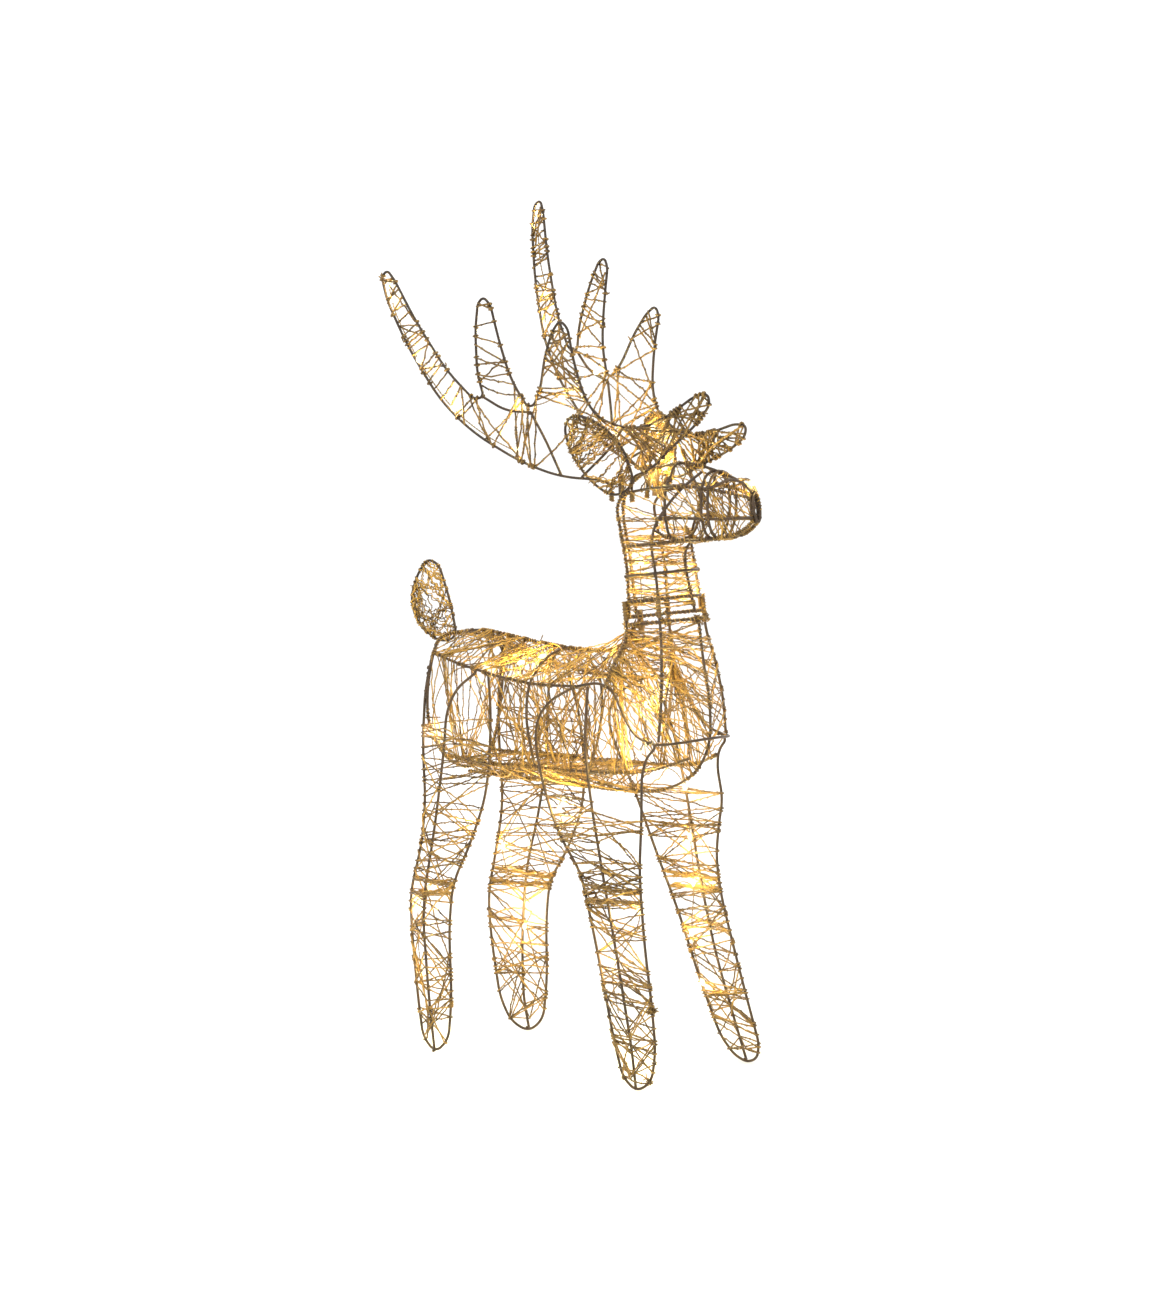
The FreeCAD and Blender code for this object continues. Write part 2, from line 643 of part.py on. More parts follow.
# The outline of an antler in its own plane, as (forward, up) from its root.
ROOT_REAR, ROOT_FRONT = (-22, -21), (5, -21)
MAIN_BEAM = [(-22, -4), (-36, 1), (-90, 3), (-143, 19), (-206, 51), (-250, 88), (-292, 150), (-318, 203),
             (-324, 230), (-316, 238), (-306, 226), (-281, 182), (-239, 122), (-204, 90), (-189, 92)]
SECOND_TINE = [(-197, 120), (-197, 170), (-192, 200), (-184, 207), (-175, 198), (-165, 156), (-151, 112),
               (-126, 76)]
THIRD_TINE = [(-112, 101), (-104, 140), (-93, 168), (-82, 181), (-72, 172), (-66, 135), (-54, 96),
              (-38, 72), (-4, 60)]
FRONT_TINE = [(28, 62), (58, 76), (90, 97), (108, 101), (110, 88), (92, 66), (62, 42), (30, 14), (8, 6)]
TINE_BRACES = [[(-189, 92), (-160, 77), (-126, 76)], [(-126, 76), (-108, 46), (-88, 5)],
               [(-4, 60), (-22, 36), (-60, 4)]]
PIN_START = -5.0
PLANE_ORIGIN = (98, 675)         # the root of both antlers, as (x, z)


class AntlerPlane:
    """Places points of an antler's flat outline; pull is the way the antler leaves its sockets."""

    def __init__(self, sign, pitch):
        yaw, lean = math.radians(dim("antler_yaw")), math.radians(dim("antler_lean"))
        self.forward = Vector(math.cos(yaw), -sign * math.sin(yaw), 0)
        outward = Vector(math.sin(yaw), sign * math.cos(yaw), 0)
        self.pull = UP * math.cos(lean) + outward * math.sin(lean)
        self.root = vec((PLANE_ORIGIN[0], sign * dim("antler_root_half"), PLANE_ORIGIN[1]))
        turn = math.radians(-pitch)
        self.cos, self.sin = math.cos(turn), math.sin(turn)

    def at(self, point, pitched=True):
        """A point of the outline in space; the sockets and pins stay in line with the pull."""
        s, t = point
        if pitched:
            s, t = s * self.cos - t * self.sin, s * self.sin + t * self.cos
        return self.root + (self.forward * s + self.pull * t) * SCALE

    def height(self, point):
        """How far up its flat outline a point of an antler lies."""
        away = (point - self.root) * (1 / SCALE)
        return away.dot(self.pull) * self.cos - away.dot(self.forward) * self.sin


def antler(side, sign, pitch):
    plane = AntlerPlane(sign, pitch)
    whole = MAIN_BEAM[1:] + SECOND_TINE + THIRD_TINE + FRONT_TINE
    points = [plane.at(ROOT_REAR, False), plane.at(MAIN_BEAM[0], False)]
    points += [plane.at(point) for point in whole]
    points += [plane.at((ROOT_FRONT[0], PIN_START), False), plane.at(ROOT_FRONT, False)]
    braces = [([plane.at(point) for point in brace], False) for brace in TINE_BRACES]
    return plane, rods("antler_%s_frame" % side, [(points, False)] + braces, "tine_rod_dia")


antlers = {"left": antler("left", 1, dim("left_antler_pitch")), "right": antler("right", -1, 0.0)}
socket = tube("socket", "dims.tine_rod_dia + 2 * dims.running_gap", "dims.sleeve_wall", "dims.socket_length")
SEAT = -22.5                     # foot of a socket, below the antler's root
ANTLER_LINK = (-8.5, -5)         # mouth of an antler's link socket, from its root
PULL_WAY = 12.0                  # height above the root kept free for each antler's pins and plug
PULL_ROOM = 4.5 * SCALE          # and how far round them
ROOT_CLEARANCE = 9 * SCALE       # an antler's own thread starts above this
PALM_TOP = 100                   # the tines stand above this height of the outline
seats = []
pull_ways = [Part.LineSegment(plane.at((along, SEAT), False), plane.at((along, PULL_WAY), False)).toShape()
             for plane, lines in antlers.values() for along in (ROOT_REAR[0], ANTLER_LINK[0], ROOT_FRONT[0])]
group("head_winding", [stretch for stretch in head_thread
                       if min(stretch.distToShape(way)[0] for way in pull_ways) > PULL_ROOM])
for side, (plane, lines) in antlers.items():
    seats += [placed(socket, plane.at((root[0], SEAT), False), plane.pull)
              for root in (ROOT_REAR, ROOT_FRONT)]
    border = [point for point in spread(lines[0], 300)
              if (point - plane.root).dot(plane.pull) > ROOT_CLEARANCE]
    palm = [point for point in border if plane.height(point) < PALM_TOP]
    group("antler_winding_" + side, zigzag(FlatLoop(border), count=215, shortest=9, longest=95)
          + tangle(FlatLoop(palm), count=42, shortest=45, longest=110))
group("antler_sockets", seats)

# ---------------------------------------------------------------- light string

# Each run lists (x, y, z) and whether a light sits there.
BODY_RUNS = [
    [(-86, 0, 331, 0), (-40, -18, 333, 0), (3, -30, 334, 1), (62, -40, 344, 0), (112, -52, 356, 0),
     (142, -60, 372, 1), (150, -60, 402, 0), (146, -57, 432, 1), (156, -42, 452, 0), (150, -20, 466, 1),
     (118, -6, 478, 0), (84, -8, 486, 0), (57, -7, 486, 1), (12, -16, 474, 0), (-30, -30, 471, 1),
     (-50, -46, 462, 1), (-91, -60, 453, 1), (-138, -58, 454, 0), (-168, -58, 420, 0), (-171, -64, 372, 1),
     (-158, -66, 320, 0), (-102, -68, 266, 1), (-124, -71, 226, 0), (-170, -73, 192, 1), (-184, -74, 165, 1),
     (-180, -77, 124, 0), (-172, -79, 88, 1)],
    [(-80, 5, 332, 0), (-60, 28, 338, 0), (-80, 56, 326, 0), (-138, 68, 286, 0), (-182, 71, 224, 1),
     (-168, 74, 186, 0), (-130, 75, 154, 1), (-150, 77, 130, 1), (-158, 79, 96, 0)],
    [(70, 36, 350, 0), (96, 60, 340, 0), (104, 70, 318, 1), (106, 75, 260, 1), (108, 81, 206, 1),
     (97, 87, 146, 1), (110, 93, 88, 1), (126, 96, 56, 0)],
    [(54, -36, 352, 0), (34, -60, 338, 0), (29, -72, 300, 1), (66, -78, 254, 0), (120, -80, 232, 0),
     (168, -84, 202, 1), (146, -88, 160, 0), (123, -90, 130, 1), (138, -94, 84, 0)],
]
HEAD_RUNS = [
    [(96, -2, 541, 0), (99, -8, 564, 0), (100, -10, 586, 1), (118, 4, 596, 0), (142, 20, 572, 0),
     (147, 24, 544, 1), (140, 20, 580, 0), (133, 15, 626, 0), (116, 8, 676, 0), (122, 6, 692, 1),
     (160, 5, 691, 0), (212, 4, 680, 0), (238, 4, 682, 0), (251, 0.5, 676, 1)],
]
# In an antler's plane, as (forward, up) and whether a light sits there.
ANTLER_RUNS = {
    "right": [(-8, 10, 0), (-12, 34, 0), (-17, 56, 1), (-50, 66, 0), (-84, 98, 1), (-112, 84, 0),
              (-141, 84, 1), (-150, 52, 0), (-142, 28, 1), (-190, 48, 0), (-234, 78, 1), (-279, 134, 1),
              (-306, 186, 0), (-312, 206, 1), (-315, 223, 1)],
    "left": [(-8, 10, 0), (-10, 26, 1), (-34, 54, 1), (-90, 66, 0), (-150, 82, 1), (-204, 74, 0),
             (-256, 102, 1), (-264, 140, 1), (-292, 172, 0), (-315, 223, 1)],
}


def drop_master():
    """The moulded drop round one light, revolved about its own axis, with its wire running through."""
    body = doc.addObject("PartDesign::Body", "drop_master")
    sketch = body.newObject("Sketcher::SketchObject", "drop_outline")
    plane = [item for item in body.Origin.OriginFeatures if item.Role == "XZ_Plane"][0]
    sketch.AttachmentSupport = [(plane, "")]
    sketch.MapMode = "FlatFace"
    half, radius = dim("drop_length") / 2, dim("drop_dia") / 2
    corners = [Vector(0, -half, 0), Vector(0, half, 0)]
    sketch.addGeometry(Part.LineSegment(*corners), False)
    bulge = Part.Arc(Vector(0, half, 0), Vector(radius, 0, 0), Vector(0, -half, 0))
    sketch.addGeometry(bulge, False)
    sketch.addConstraint(Sketcher.Constraint("PointOnObject", 0, 1, -2))
    sketch.addConstraint(Sketcher.Constraint("Vertical", 0))
    length = sketch.addConstraint(Sketcher.Constraint("DistanceY", 0, 1, 0, 2, 2 * half))
    sketch.setExpression("Constraints[%d]" % length, "dims.drop_length")
    revolution = body.newObject("PartDesign::Revolution", "drop")
    revolution.Profile = sketch
    revolution.ReferenceAxis = (sketch, ["V_Axis"])
    revolution.Angle = 360
    doc.recompute()
    return body.Shape


drop = drop_master()


def middle_of(edge):
    return edge.valueAt((edge.FirstParameter + edge.LastParameter) / 2)


def lit_run(run, place):
    """The line of one run of the string, and its drops, each in line with the wire that it sits on."""
    points = [place(item[:-1]) for item in run]
    bends = [middle_of(edge) for edge in bent_wire(points).Edges if edge.Curve.TypeId == "Part::GeomCircle"]
    drops = []
    for i, (*where, lit) in enumerate(run):
        if lit and i == len(run) - 1:
            drops.append(placed(drop, points[i], points[i] - points[i - 1]))
        elif lit:
            drops.append(placed(drop, bends[i - 1], points[i + 1] - points[i - 1]))
    return points, drops


def string(name, runs, place):
    lit = [lit_run(run, place) for run in runs]
    rods("light_string_" + name, [(points, False) for points, drops in lit], "lead_dia")
    group("light_drops_" + name, [drop for points, drops in lit for drop in drops])


string("body", BODY_RUNS, vec)
string("head", HEAD_RUNS, vec)
for side, (plane, lines) in antlers.items():
    string("antler_" + side, [ANTLER_RUNS[side]], plane.at)

# ---------------------------------------------------------------- connectors


def plug(name, length):
    """A connector plug: a round body with a nose that fits the socket's bore."""
    grip = doc.addObject("Part::Cylinder", name + "_grip")
    grip.setExpression("Radius", "dims.link_dia / 2")
    grip.setExpression("Height", length)
    nose = doc.addObject("Part::Cylinder", name + "_nose")
    nose.setExpression("Radius", "dims.link_bore_dia / 2 - dims.running_gap")
    nose.setExpression("Height", length)
    nose.setExpression("Placement.Base.z", "-" + length + " / 2")
    fuse = doc.addObject("Part::Fuse", name + "_plug")
    fuse.Base, fuse.Tool = grip, nose
    doc.recompute()
    return fuse.Shape


LINK_WALL = "(dims.link_dia - dims.link_bore_dia) / 2"
LINK_GAP = 0.3 * SCALE           # between a plug's shoulder and its socket
LINK_MOUTH = 2.0 * SCALE         # the body's link socket opens this far above the collar
link_socket = tube("link_socket", "dims.link_bore_dia", LINK_WALL, "dims.link_length", closed_end=True)
link_plug = plug("link", "dims.link_length")
link_length = dim("link_length")
LINK_RADIUS = 37.3 * SCALE
socket_foot = on_neck(LINK_MOUTH - link_length, LINK_RADIUS, 180)
group("link_socket_body", [placed(link_socket, socket_foot, NECK_AXIS)])
group("link_plug_head", [placed(link_plug, on_neck(LINK_MOUTH + LINK_GAP, LINK_RADIUS, 180), NECK_AXIS)])
antler_link_sockets = []
for side, (plane, lines) in antlers.items():
    mouth = plane.at(ANTLER_LINK, False)
    antler_link_sockets.append(placed(link_socket, mouth - plane.pull * link_length, plane.pull))
    group("antler_link_plug_" + side, [placed(link_plug, mouth + plane.pull * LINK_GAP, plane.pull)])
group("antler_link_sockets", antler_link_sockets)
INLET_CHAMFER = 1.0


def lead_inlet():
    """The low-voltage inlet: a round housing along the belly, its mouth to the rear."""
    body = doc.addObject("PartDesign::Body", "lead_inlet")
    plane = [item for item in body.Origin.OriginFeatures if item.Role == "YZ_Plane"][0]

    def disc(name, diameter):
        sketch = body.newObject("Sketcher::SketchObject", name)
        sketch.AttachmentSupport = [(plane, "")]
        sketch.MapMode = "FlatFace"
        circle = sketch.addGeometry(Part.Circle(Vector(0, 0, 0), UP, dim(diameter) / 2), False)
        sketch.addConstraint(Sketcher.Constraint("Coincident", circle, 3, -1, 1))
        radius = sketch.addConstraint(Sketcher.Constraint("Diameter", circle, dim(diameter)))
        sketch.setExpression("Constraints[%d]" % radius, "dims." + diameter)
        return sketch

    housing = body.newObject("PartDesign::Pad", "housing")
    housing.Profile = disc("housing_outline", "inlet_dia")
    housing.setExpression("Length", "dims.inlet_length")
    doc.recompute()
    mouth = body.newObject("PartDesign::Pocket", "mouth")
    mouth.Profile = disc("mouth_outline", "inlet_bore_dia")
    mouth.setExpression("Length", "dims.inlet_bore_depth")
    mouth.Reversed = True
    doc.recompute()
    rim = body.newObject("PartDesign::Chamfer", "rim")
    edges = [index for index, edge in enumerate(mouth.Shape.Edges, start=1)
             if math.isclose(edge.BoundBox.YLength, dim("inlet_dia"), abs_tol=0.01)]
    rim.Base = (mouth, ["Edge%d" % index for index in edges])
    rim.Size = INLET_CHAMFER
    doc.recompute()
    body.Label = "lead_inlet"
    body.Placement.Base = INLET_AT
    PARTS["lead_inlet"] = body


lead_inlet()

# Wire ties hold the light string to the frame, each a small ring round a rod and the string beside it.
TIES = [(-98, 0, 327, (1, 0, 0)), (-97, 0, 334, (1, 0, 0)), (-60, 0, 479.5, (1, 0, 0)),
        (150, -62, 388, (0, 1, 0)), (-173, -64, 392, (0, 0, 1)), (84, 0, 512, (0, 0, 1))]
TIE_RING_RADIUS, TIE_WIRE_RADIUS = 4.4, 0.6
tie = Part.makeTorus(TIE_RING_RADIUS, TIE_WIRE_RADIUS)
group("string_ties", [placed(tie, vec((x, y, z)), Vector(*along)) for x, y, z, along in TIES])

# ---------------------------------------------------------------- checks and output

doc.recompute()
for item in doc.Objects:
    if "Invalid" in item.State or "Error" in item.State:
        raise RuntimeError("%s failed: %s" % (item.Label, item.State))
for name, node in PARTS.items():
    if node.Shape.isNull() or not node.Shape.isValid():
        raise RuntimeError(name + " has no valid shape")
os.makedirs("parts", exist_ok=True)
for name, node in PARTS.items():
    node.Shape.exportStep("parts/%s.step" % name)
print(len(PARTS), "parts written")
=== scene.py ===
"""Light-up yard reindeer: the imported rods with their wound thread, light string, welds and ties.

Everything is in metres in the row frame: +X the way the reindeer faces, +Y its left side, +Z up.
The thread follows the stretches of the CAD windings, from rod to rod, and is wrapped round each rod it meets.
"""

import heapq
import json
import math
import random

import bpy
import numpy as np
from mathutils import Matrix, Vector, kdtree

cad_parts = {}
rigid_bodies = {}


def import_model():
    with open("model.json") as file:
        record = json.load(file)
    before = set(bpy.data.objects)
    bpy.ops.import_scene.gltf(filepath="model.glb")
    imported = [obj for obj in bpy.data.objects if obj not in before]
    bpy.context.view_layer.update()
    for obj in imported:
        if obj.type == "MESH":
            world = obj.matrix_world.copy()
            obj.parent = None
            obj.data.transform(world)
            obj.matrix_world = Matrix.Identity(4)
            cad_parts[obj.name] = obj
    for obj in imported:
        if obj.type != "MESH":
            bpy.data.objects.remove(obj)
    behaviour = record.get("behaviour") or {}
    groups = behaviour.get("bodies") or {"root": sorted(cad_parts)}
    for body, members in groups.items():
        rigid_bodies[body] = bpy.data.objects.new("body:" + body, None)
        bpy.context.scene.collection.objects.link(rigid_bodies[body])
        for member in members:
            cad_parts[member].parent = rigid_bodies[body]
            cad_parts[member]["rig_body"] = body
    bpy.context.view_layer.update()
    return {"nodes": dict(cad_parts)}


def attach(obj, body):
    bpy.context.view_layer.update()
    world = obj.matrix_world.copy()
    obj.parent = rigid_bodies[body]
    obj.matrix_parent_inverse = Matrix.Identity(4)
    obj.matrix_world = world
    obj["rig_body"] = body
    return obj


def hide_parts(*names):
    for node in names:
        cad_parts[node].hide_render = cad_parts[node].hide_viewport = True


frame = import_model()
chance = random.Random(11)
NODES = frame["nodes"]
MM = 0.001

# ---------------------------------------------------------------- sizes

ROD_RADIUS = 1.6 * MM
TAIL_ROD_RADIUS = 1.5 * MM
BAND_RADIUS = 1.0 * MM
SLEEVE_RADIUS = 2.66 * MM
WELD_RADIUS = 2.1 * MM

THREAD_RADIUS = 0.8 * MM
COIL_THREAD_RADIUS = 0.5 * MM
THREAD_SIDES = 6
STRAND_OVERSHOOT = 1.6 * MM      # a CAD stretch runs this far past the middle of the rods at its ends
JOIN_WITHIN = 4.5 * MM           # stretches whose ends lie this near are one thread
CHEST_FROM = 40 * MM             # the body's thread is two pieces, which part here
TONES = [(0.0, 0.2), (0.3, 0.7), (0.6, 1.0)]    # dark, plain and golden threads
TIE_OFF_TURNS, MORE_TURNS = 0.35, 0.1           # chances of one more turn at a thread's end and along it
LOOSE_END_SHARE = 0.15           # of the threads' ends, those whose cut end stands off the rod
LOOSE_END_THINNING = 0.8
KNOT_EVERY = 6 * MM              # the spacing of the bends and knots along a free stretch
CURL_STEP = 2 * MM               # and along a stretch that curls
KNOT_SHARE = 0.6
WAVER = 0.22 * MM

LEAD_RADIUS = 0.8 * MM
LEAD_WIRE_RADIUS = 0.42 * MM     # each of the two wires twisted into the lead
LEAD_TWIST = 8 * MM
LEAD_STEP = 1.6 * MM
DROP_RADIUS = 3.0 * MM
DROP_LUMPINESS = 0.07
LAMP_POWER = 0.5
LAMP_COLOUR = (1.0, 0.80, 0.30)
LAMP_SIZE = 2.5 * MM
LAMP_SOFTNESS = (11 * MM) ** 2

RING_SLICES = 48
TUFT_STRANDS, TUFT_REACH = 7, 5.5 * MM
COLLAR_TUFTS = (0.05, 0.16, 0.3, 0.42, 0.55, 0.7, 0.81, 0.93)    # shares of the way round the collar
LEG_TUFTS = [(90 * MM, 12), (14 * MM, 5)]       # heights on the near front leg, and strands
BUNDLE_STRANDS, BUNDLE_REACH = 5, 2.2 * MM

TIE_WIRE = 0.5 * MM
TIE_RADIUS = 4.3 * MM
TIE_TAIL = 9 * MM
TIE_TAIL_TWIST = 2.6 * MM
TIE_STEPS = 48
RIB_WIRE, RIB_SIDES = 0.45 * MM, 28
RIB_PLACES = (0.3, 0.45, 0.6, 0.75)             # shares of the way along a connector

# ---------------------------------------------------------------- reading the CAD


def surface(node):
    """A CAD node's vertices, their normals, and its triangles."""
    mesh = NODES[node].data
    points = np.empty(len(mesh.vertices) * 3, np.float32)
    mesh.vertices.foreach_get("co", points)
    points = points.reshape(-1, 3).astype(float)
    corner_normals = np.empty(len(mesh.loops) * 3, np.float32)
    mesh.corner_normals.foreach_get("vector", corner_normals)
    corner_vertices = np.empty(len(mesh.loops), np.int32)
    mesh.loops.foreach_get("vertex_index", corner_vertices)
    normals = np.zeros_like(points)
    np.add.at(normals, corner_vertices, corner_normals.reshape(-1, 3))
    normals /= np.maximum(np.linalg.norm(normals, axis=1), 1e-9)[:, None]
    mesh.calc_loop_triangles()
    triangles = np.empty(len(mesh.loop_triangles) * 3, np.int32)
    mesh.loop_triangles.foreach_get("vertices", triangles)
    return points, normals, triangles.reshape(-1, 3)


def solid_numbers(points, triangles):
    """Which of the mesh's separate solids each vertex belongs to, numbered in the file's order."""
    _, same = np.unique(np.round(points / (5e-3 * MM)), axis=0, return_inverse=True)
    same = same.reshape(-1)
    corners = same[triangles]
    label = np.arange(same.max() + 1)
    settled = False
    while not settled:
        before = label.copy()
        lowest = label[corners].min(1)
        for column in corners.T:
            np.minimum.at(label, column, lowest)
        label = label[label]
        settled = (label == before).all()
    found, first, number = np.unique(label[same], return_index=True, return_inverse=True)
    rank = np.empty(len(found), int)
    rank[np.argsort(first)] = np.arange(len(found))
    return rank[number.reshape(-1)]


def solids(node):
    """The separate solids of a node, each as its vertices and their normals."""
    points, normals, triangles = surface(node)
    number = solid_numbers(points, triangles)
    return [(points[number == i], normals[number == i]) for i in range(number.max() + 1)]


def main_axis(points):
    """The middle of a solid and the directions of its spread, the longest last."""
    middle = points.mean(0)
    return middle, np.linalg.eigh(np.cov((points - middle).T))[1].T


def stretches(node):
    """The stretches of thread in a CAD winding, as pairs of points in the middle of the rods they meet."""
    found = []
    for points, _ in solids(node):
        middle, axes = main_axis(points)
        along = (points - middle) @ axes[2]
        found.append((middle + axes[2] * (along.min() + STRAND_OVERSHOOT),
                      middle + axes[2] * (along.max() - STRAND_OVERSHOOT)))
    return found


def chains(node):
    """A winding's stretches joined end to end, each chain as its points."""
    found = []
    for a, b in stretches(node):
        if found:
            last = found[-1]
            if len(last) == 2 and min(np.linalg.norm(last[0] - a), np.linalg.norm(last[0] - b)) < JOIN_WITHIN:
                last.reverse()
            if np.linalg.norm(last[-1] - b) < JOIN_WITHIN:
                a, b = b, a
            if np.linalg.norm(last[-1] - a) < JOIN_WITHIN:
                last.append(b)
                continue
        found.append([a, b])
    return found


def centre_lines(node, radius):
    """The middle line of each round rod or wire in a node, from end to end."""
    points, normals, triangles = surface(node)
    number = solid_numbers(points, triangles)
    inner = points - normals * radius
    lines = []
    for i in range(number.max() + 1):
        mine = number == i
        keys, place, count = np.unique(np.round(inner[mine] / (0.4 * MM)), axis=0,
                                       return_inverse=True, return_counts=True)
        place = place.reshape(-1)
        centres = np.zeros((len(keys), 3))
        np.add.at(centres, place, inner[mine])
        centres /= count[:, None]
        index = np.full(len(points), -1)
        index[np.flatnonzero(mine)] = place
        corners = index[triangles[mine[triangles[:, 0]]]]
        links = np.concatenate([corners[:, [0, 1]], corners[:, [1, 2]], corners[:, [2, 0]]])
        links = links[(count[links] > 2).all(1)]
        near = {}
        for a, b in links.tolist():
            near.setdefault(a, set()).add(b)
            near.setdefault(b, set()).add(a)
        # Distances through the links from one end give every centre its place along the rod.
        far = walk(centres, near, next(iter(near)))
        far = walk(centres, near, max(far, key=far.get))
        order = sorted(far, key=far.get)
        lines.append(thinned(centres[order]))
    return lines


def walk(centres, near, start):
    far, queue = {}, [(0.0, start)]
    while queue:
        reach, here = heapq.heappop(queue)
        if here in far:
            continue
        far[here] = reach
        for there in near[here]:
            if there not in far:
                heapq.heappush(queue, (reach + float(np.linalg.norm(centres[here] - centres[there])), there))
    return far


def thinned(line, least=1.2 * MM):
    kept = [line[0]]
    for point in line[1:]:
        if np.linalg.norm(point - kept[-1]) > least:
            kept.append(point)
    return np.array(kept)


def resampled(line, step):
    """A line's points at equal steps."""
    line = np.asarray(line, float)
    along = np.concatenate([[0], np.cumsum(np.linalg.norm(np.diff(line, axis=0), axis=1))])
    at = np.linspace(0, along[-1], max(2, int(along[-1] / step) + 1))
    return np.stack([np.interp(at, along, line[:, i]) for i in range(3)], 1)


# ---------------------------------------------------------------- the rods, as a field to wind on

ROD_SLOTS = ("frame_rod", "tine_rod", "sleeve_tube")
SAMPLES_PER_MM2 = 1.0


class RodField:
    """Points all over the rods, for finding the rod near a place and the places where rods meet."""

    def __init__(self):
        rng = np.random.default_rng(5)
        places, normals, owners = [], [], []
        self.bodies = []
        for node in sorted(NODES):
            if NODES[node].data.materials[0].name.split(".")[0] not in ROD_SLOTS:
                continue
            points, _, triangles = surface(node)
            number = solid_numbers(points, triangles)
            a, b, c = (points[triangles[:, i]] for i in range(3))
            cross = np.cross(b - a, c - a)
            area = np.linalg.norm(cross, axis=1) / 2
            count = int(area.sum() / MM ** 2 * SAMPLES_PER_MM2)
            chosen = rng.choice(len(area), count, p=area / area.sum())
            u, v = rng.random((2, count, 1))
            over = (u + v) > 1
            u, v = np.where(over, 1 - u, u), np.where(over, 1 - v, v)
            places.append(a[chosen] + u * (b - a)[chosen] + v * (c - a)[chosen])
            normals.append(cross[chosen] / (2 * area[chosen, None]))
            owners.append(number[triangles[chosen, 0]] + len(self.bodies))
            self.bodies += [NODES[node]["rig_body"]] * (number.max() + 1)
        self.places, self.normals = np.concatenate(places), np.concatenate(normals)
        self.owners = np.concatenate(owners)
        self.tree = kdtree.KDTree(len(self.places))
        for i, place in enumerate(self.places):
            self.tree.insert(place, i)
        self.tree.balance()

    def rod_at(self, place, reach=2.6 * MM):
        """The middle and the direction of the rod round a place, or None."""
        found = [i for _, i, _ in self.tree.find_range(place, reach)]
        if len(found) < 8:
            return None
        normals = self.normals[found]
        direction = np.linalg.eigh(normals.T @ normals)[1][:, 0]
        middle = (self.places[found] - normals * ROD_RADIUS).mean(0)
        middle -= direction * ((middle - np.array(place)) @ direction)
        return Vector(middle), Vector(direction)

    def meetings(self, cell=1.8 * MM, apart=5.5 * MM):
        """Where two rods of one body touch, as (place, body)."""
        cells = {}
        for key, place, owner in zip(map(tuple, np.floor(self.places / cell).astype(int).tolist()),
                                     self.places, self.owners):
            cells.setdefault(key, []).append((owner, place))
        found = []
        for key in sorted(cells):
            owners = sorted({owner for owner, _ in cells[key]})
            if len(owners) > 1 and len({self.bodies[owner] for owner in owners}) == 1:
                place = np.mean([place for _, place in cells[key]], axis=0)
                if all(np.linalg.norm(place - other) > apart for other, _ in found):
                    found.append((place, self.bodies[owners[0]]))
        return found


field = RodField()

# ---------------------------------------------------------------- tubes


class Tubes:
    """Round tubes along lines of points, collected into one mesh. Each point has a radius and a tone."""

    def __init__(self, sides=THREAD_SIDES):
        self.sides = sides
        self.vertices, self.quads, self.tones = [], [], []
        self.count = 0

    def add(self, points, radii, tones):
        line = np.array([tuple(point) for point in points], float)
        keep = np.concatenate([[True], np.linalg.norm(np.diff(line, axis=0), axis=1) > 0.02 * MM])
        line = line[keep]
        if len(line) < 2:
            return
        radii = np.broadcast_to(np.asarray(radii, float), keep.shape)[keep]
        tones = np.broadcast_to(np.asarray(tones, float), keep.shape)[keep]
        ahead = np.gradient(line, axis=0)
        ahead /= np.maximum(np.linalg.norm(ahead, axis=1), 1e-12)[:, None]
        side = Vector(ahead[0]).orthogonal().normalized()
        sides = []
        for direction in map(Vector, ahead):
            carried = side - direction * side.dot(direction)
            side = carried.normalized() if carried.length > 1e-4 else direction.orthogonal().normalized()
            sides.append(tuple(side))
        across = np.array(sides)
        up = np.cross(ahead, across)
        turn = np.arange(self.sides) * 2 * math.pi / self.sides
        ring = across[:, None] * np.cos(turn)[None, :, None] + up[:, None] * np.sin(turn)[None, :, None]
        self.vertices.append((line[:, None] + ring * radii[:, None, None]).reshape(-1, 3))
        self.tones.append(np.repeat(tones, self.sides))
        rings, corner = np.arange(len(line) - 1)[:, None] * self.sides, np.arange(self.sides)[None]
        after = (corner + 1) % self.sides
        next_rings = rings + self.sides
        walls = np.stack([rings + corner, rings + after, next_rings + after, next_rings + corner], -1)
        last = (len(line) - 1) * self.sides
        caps = [[0, i + 2, i + 1, i] for i in range(1, self.sides - 1, 2)]
        caps += [[last, last + i, last + i + 1, last + i + 2] for i in range(1, self.sides - 1, 2)]
        self.quads.append(np.concatenate([walls.reshape(-1, 4), caps]) + self.count)
        self.count += len(line) * self.sides

    def piece(self, name, slot, body, replaced=()):
        return new_piece(name, np.concatenate(self.vertices), np.concatenate(self.quads).tolist(), slot, body,
                         replaced, np.concatenate(self.tones))


class Solids:
    """Small closed shapes, collected into one mesh."""

    def __init__(self):
        self.vertices, self.faces, self.count = [], [], 0

    def add(self, shape, faces, middle, axis):
        turn = np.array(Vector((0, 0, 1)).rotation_difference(Vector(axis)).to_matrix())
        self.vertices.append(shape @ turn.T + np.array(middle))
        self.faces += [tuple(corner + self.count for corner in face) for face in faces]
        self.count += len(shape)

    def piece(self, name, slot, body, replaced=()):
        return new_piece(name, np.concatenate(self.vertices), self.faces, slot, body, replaced)


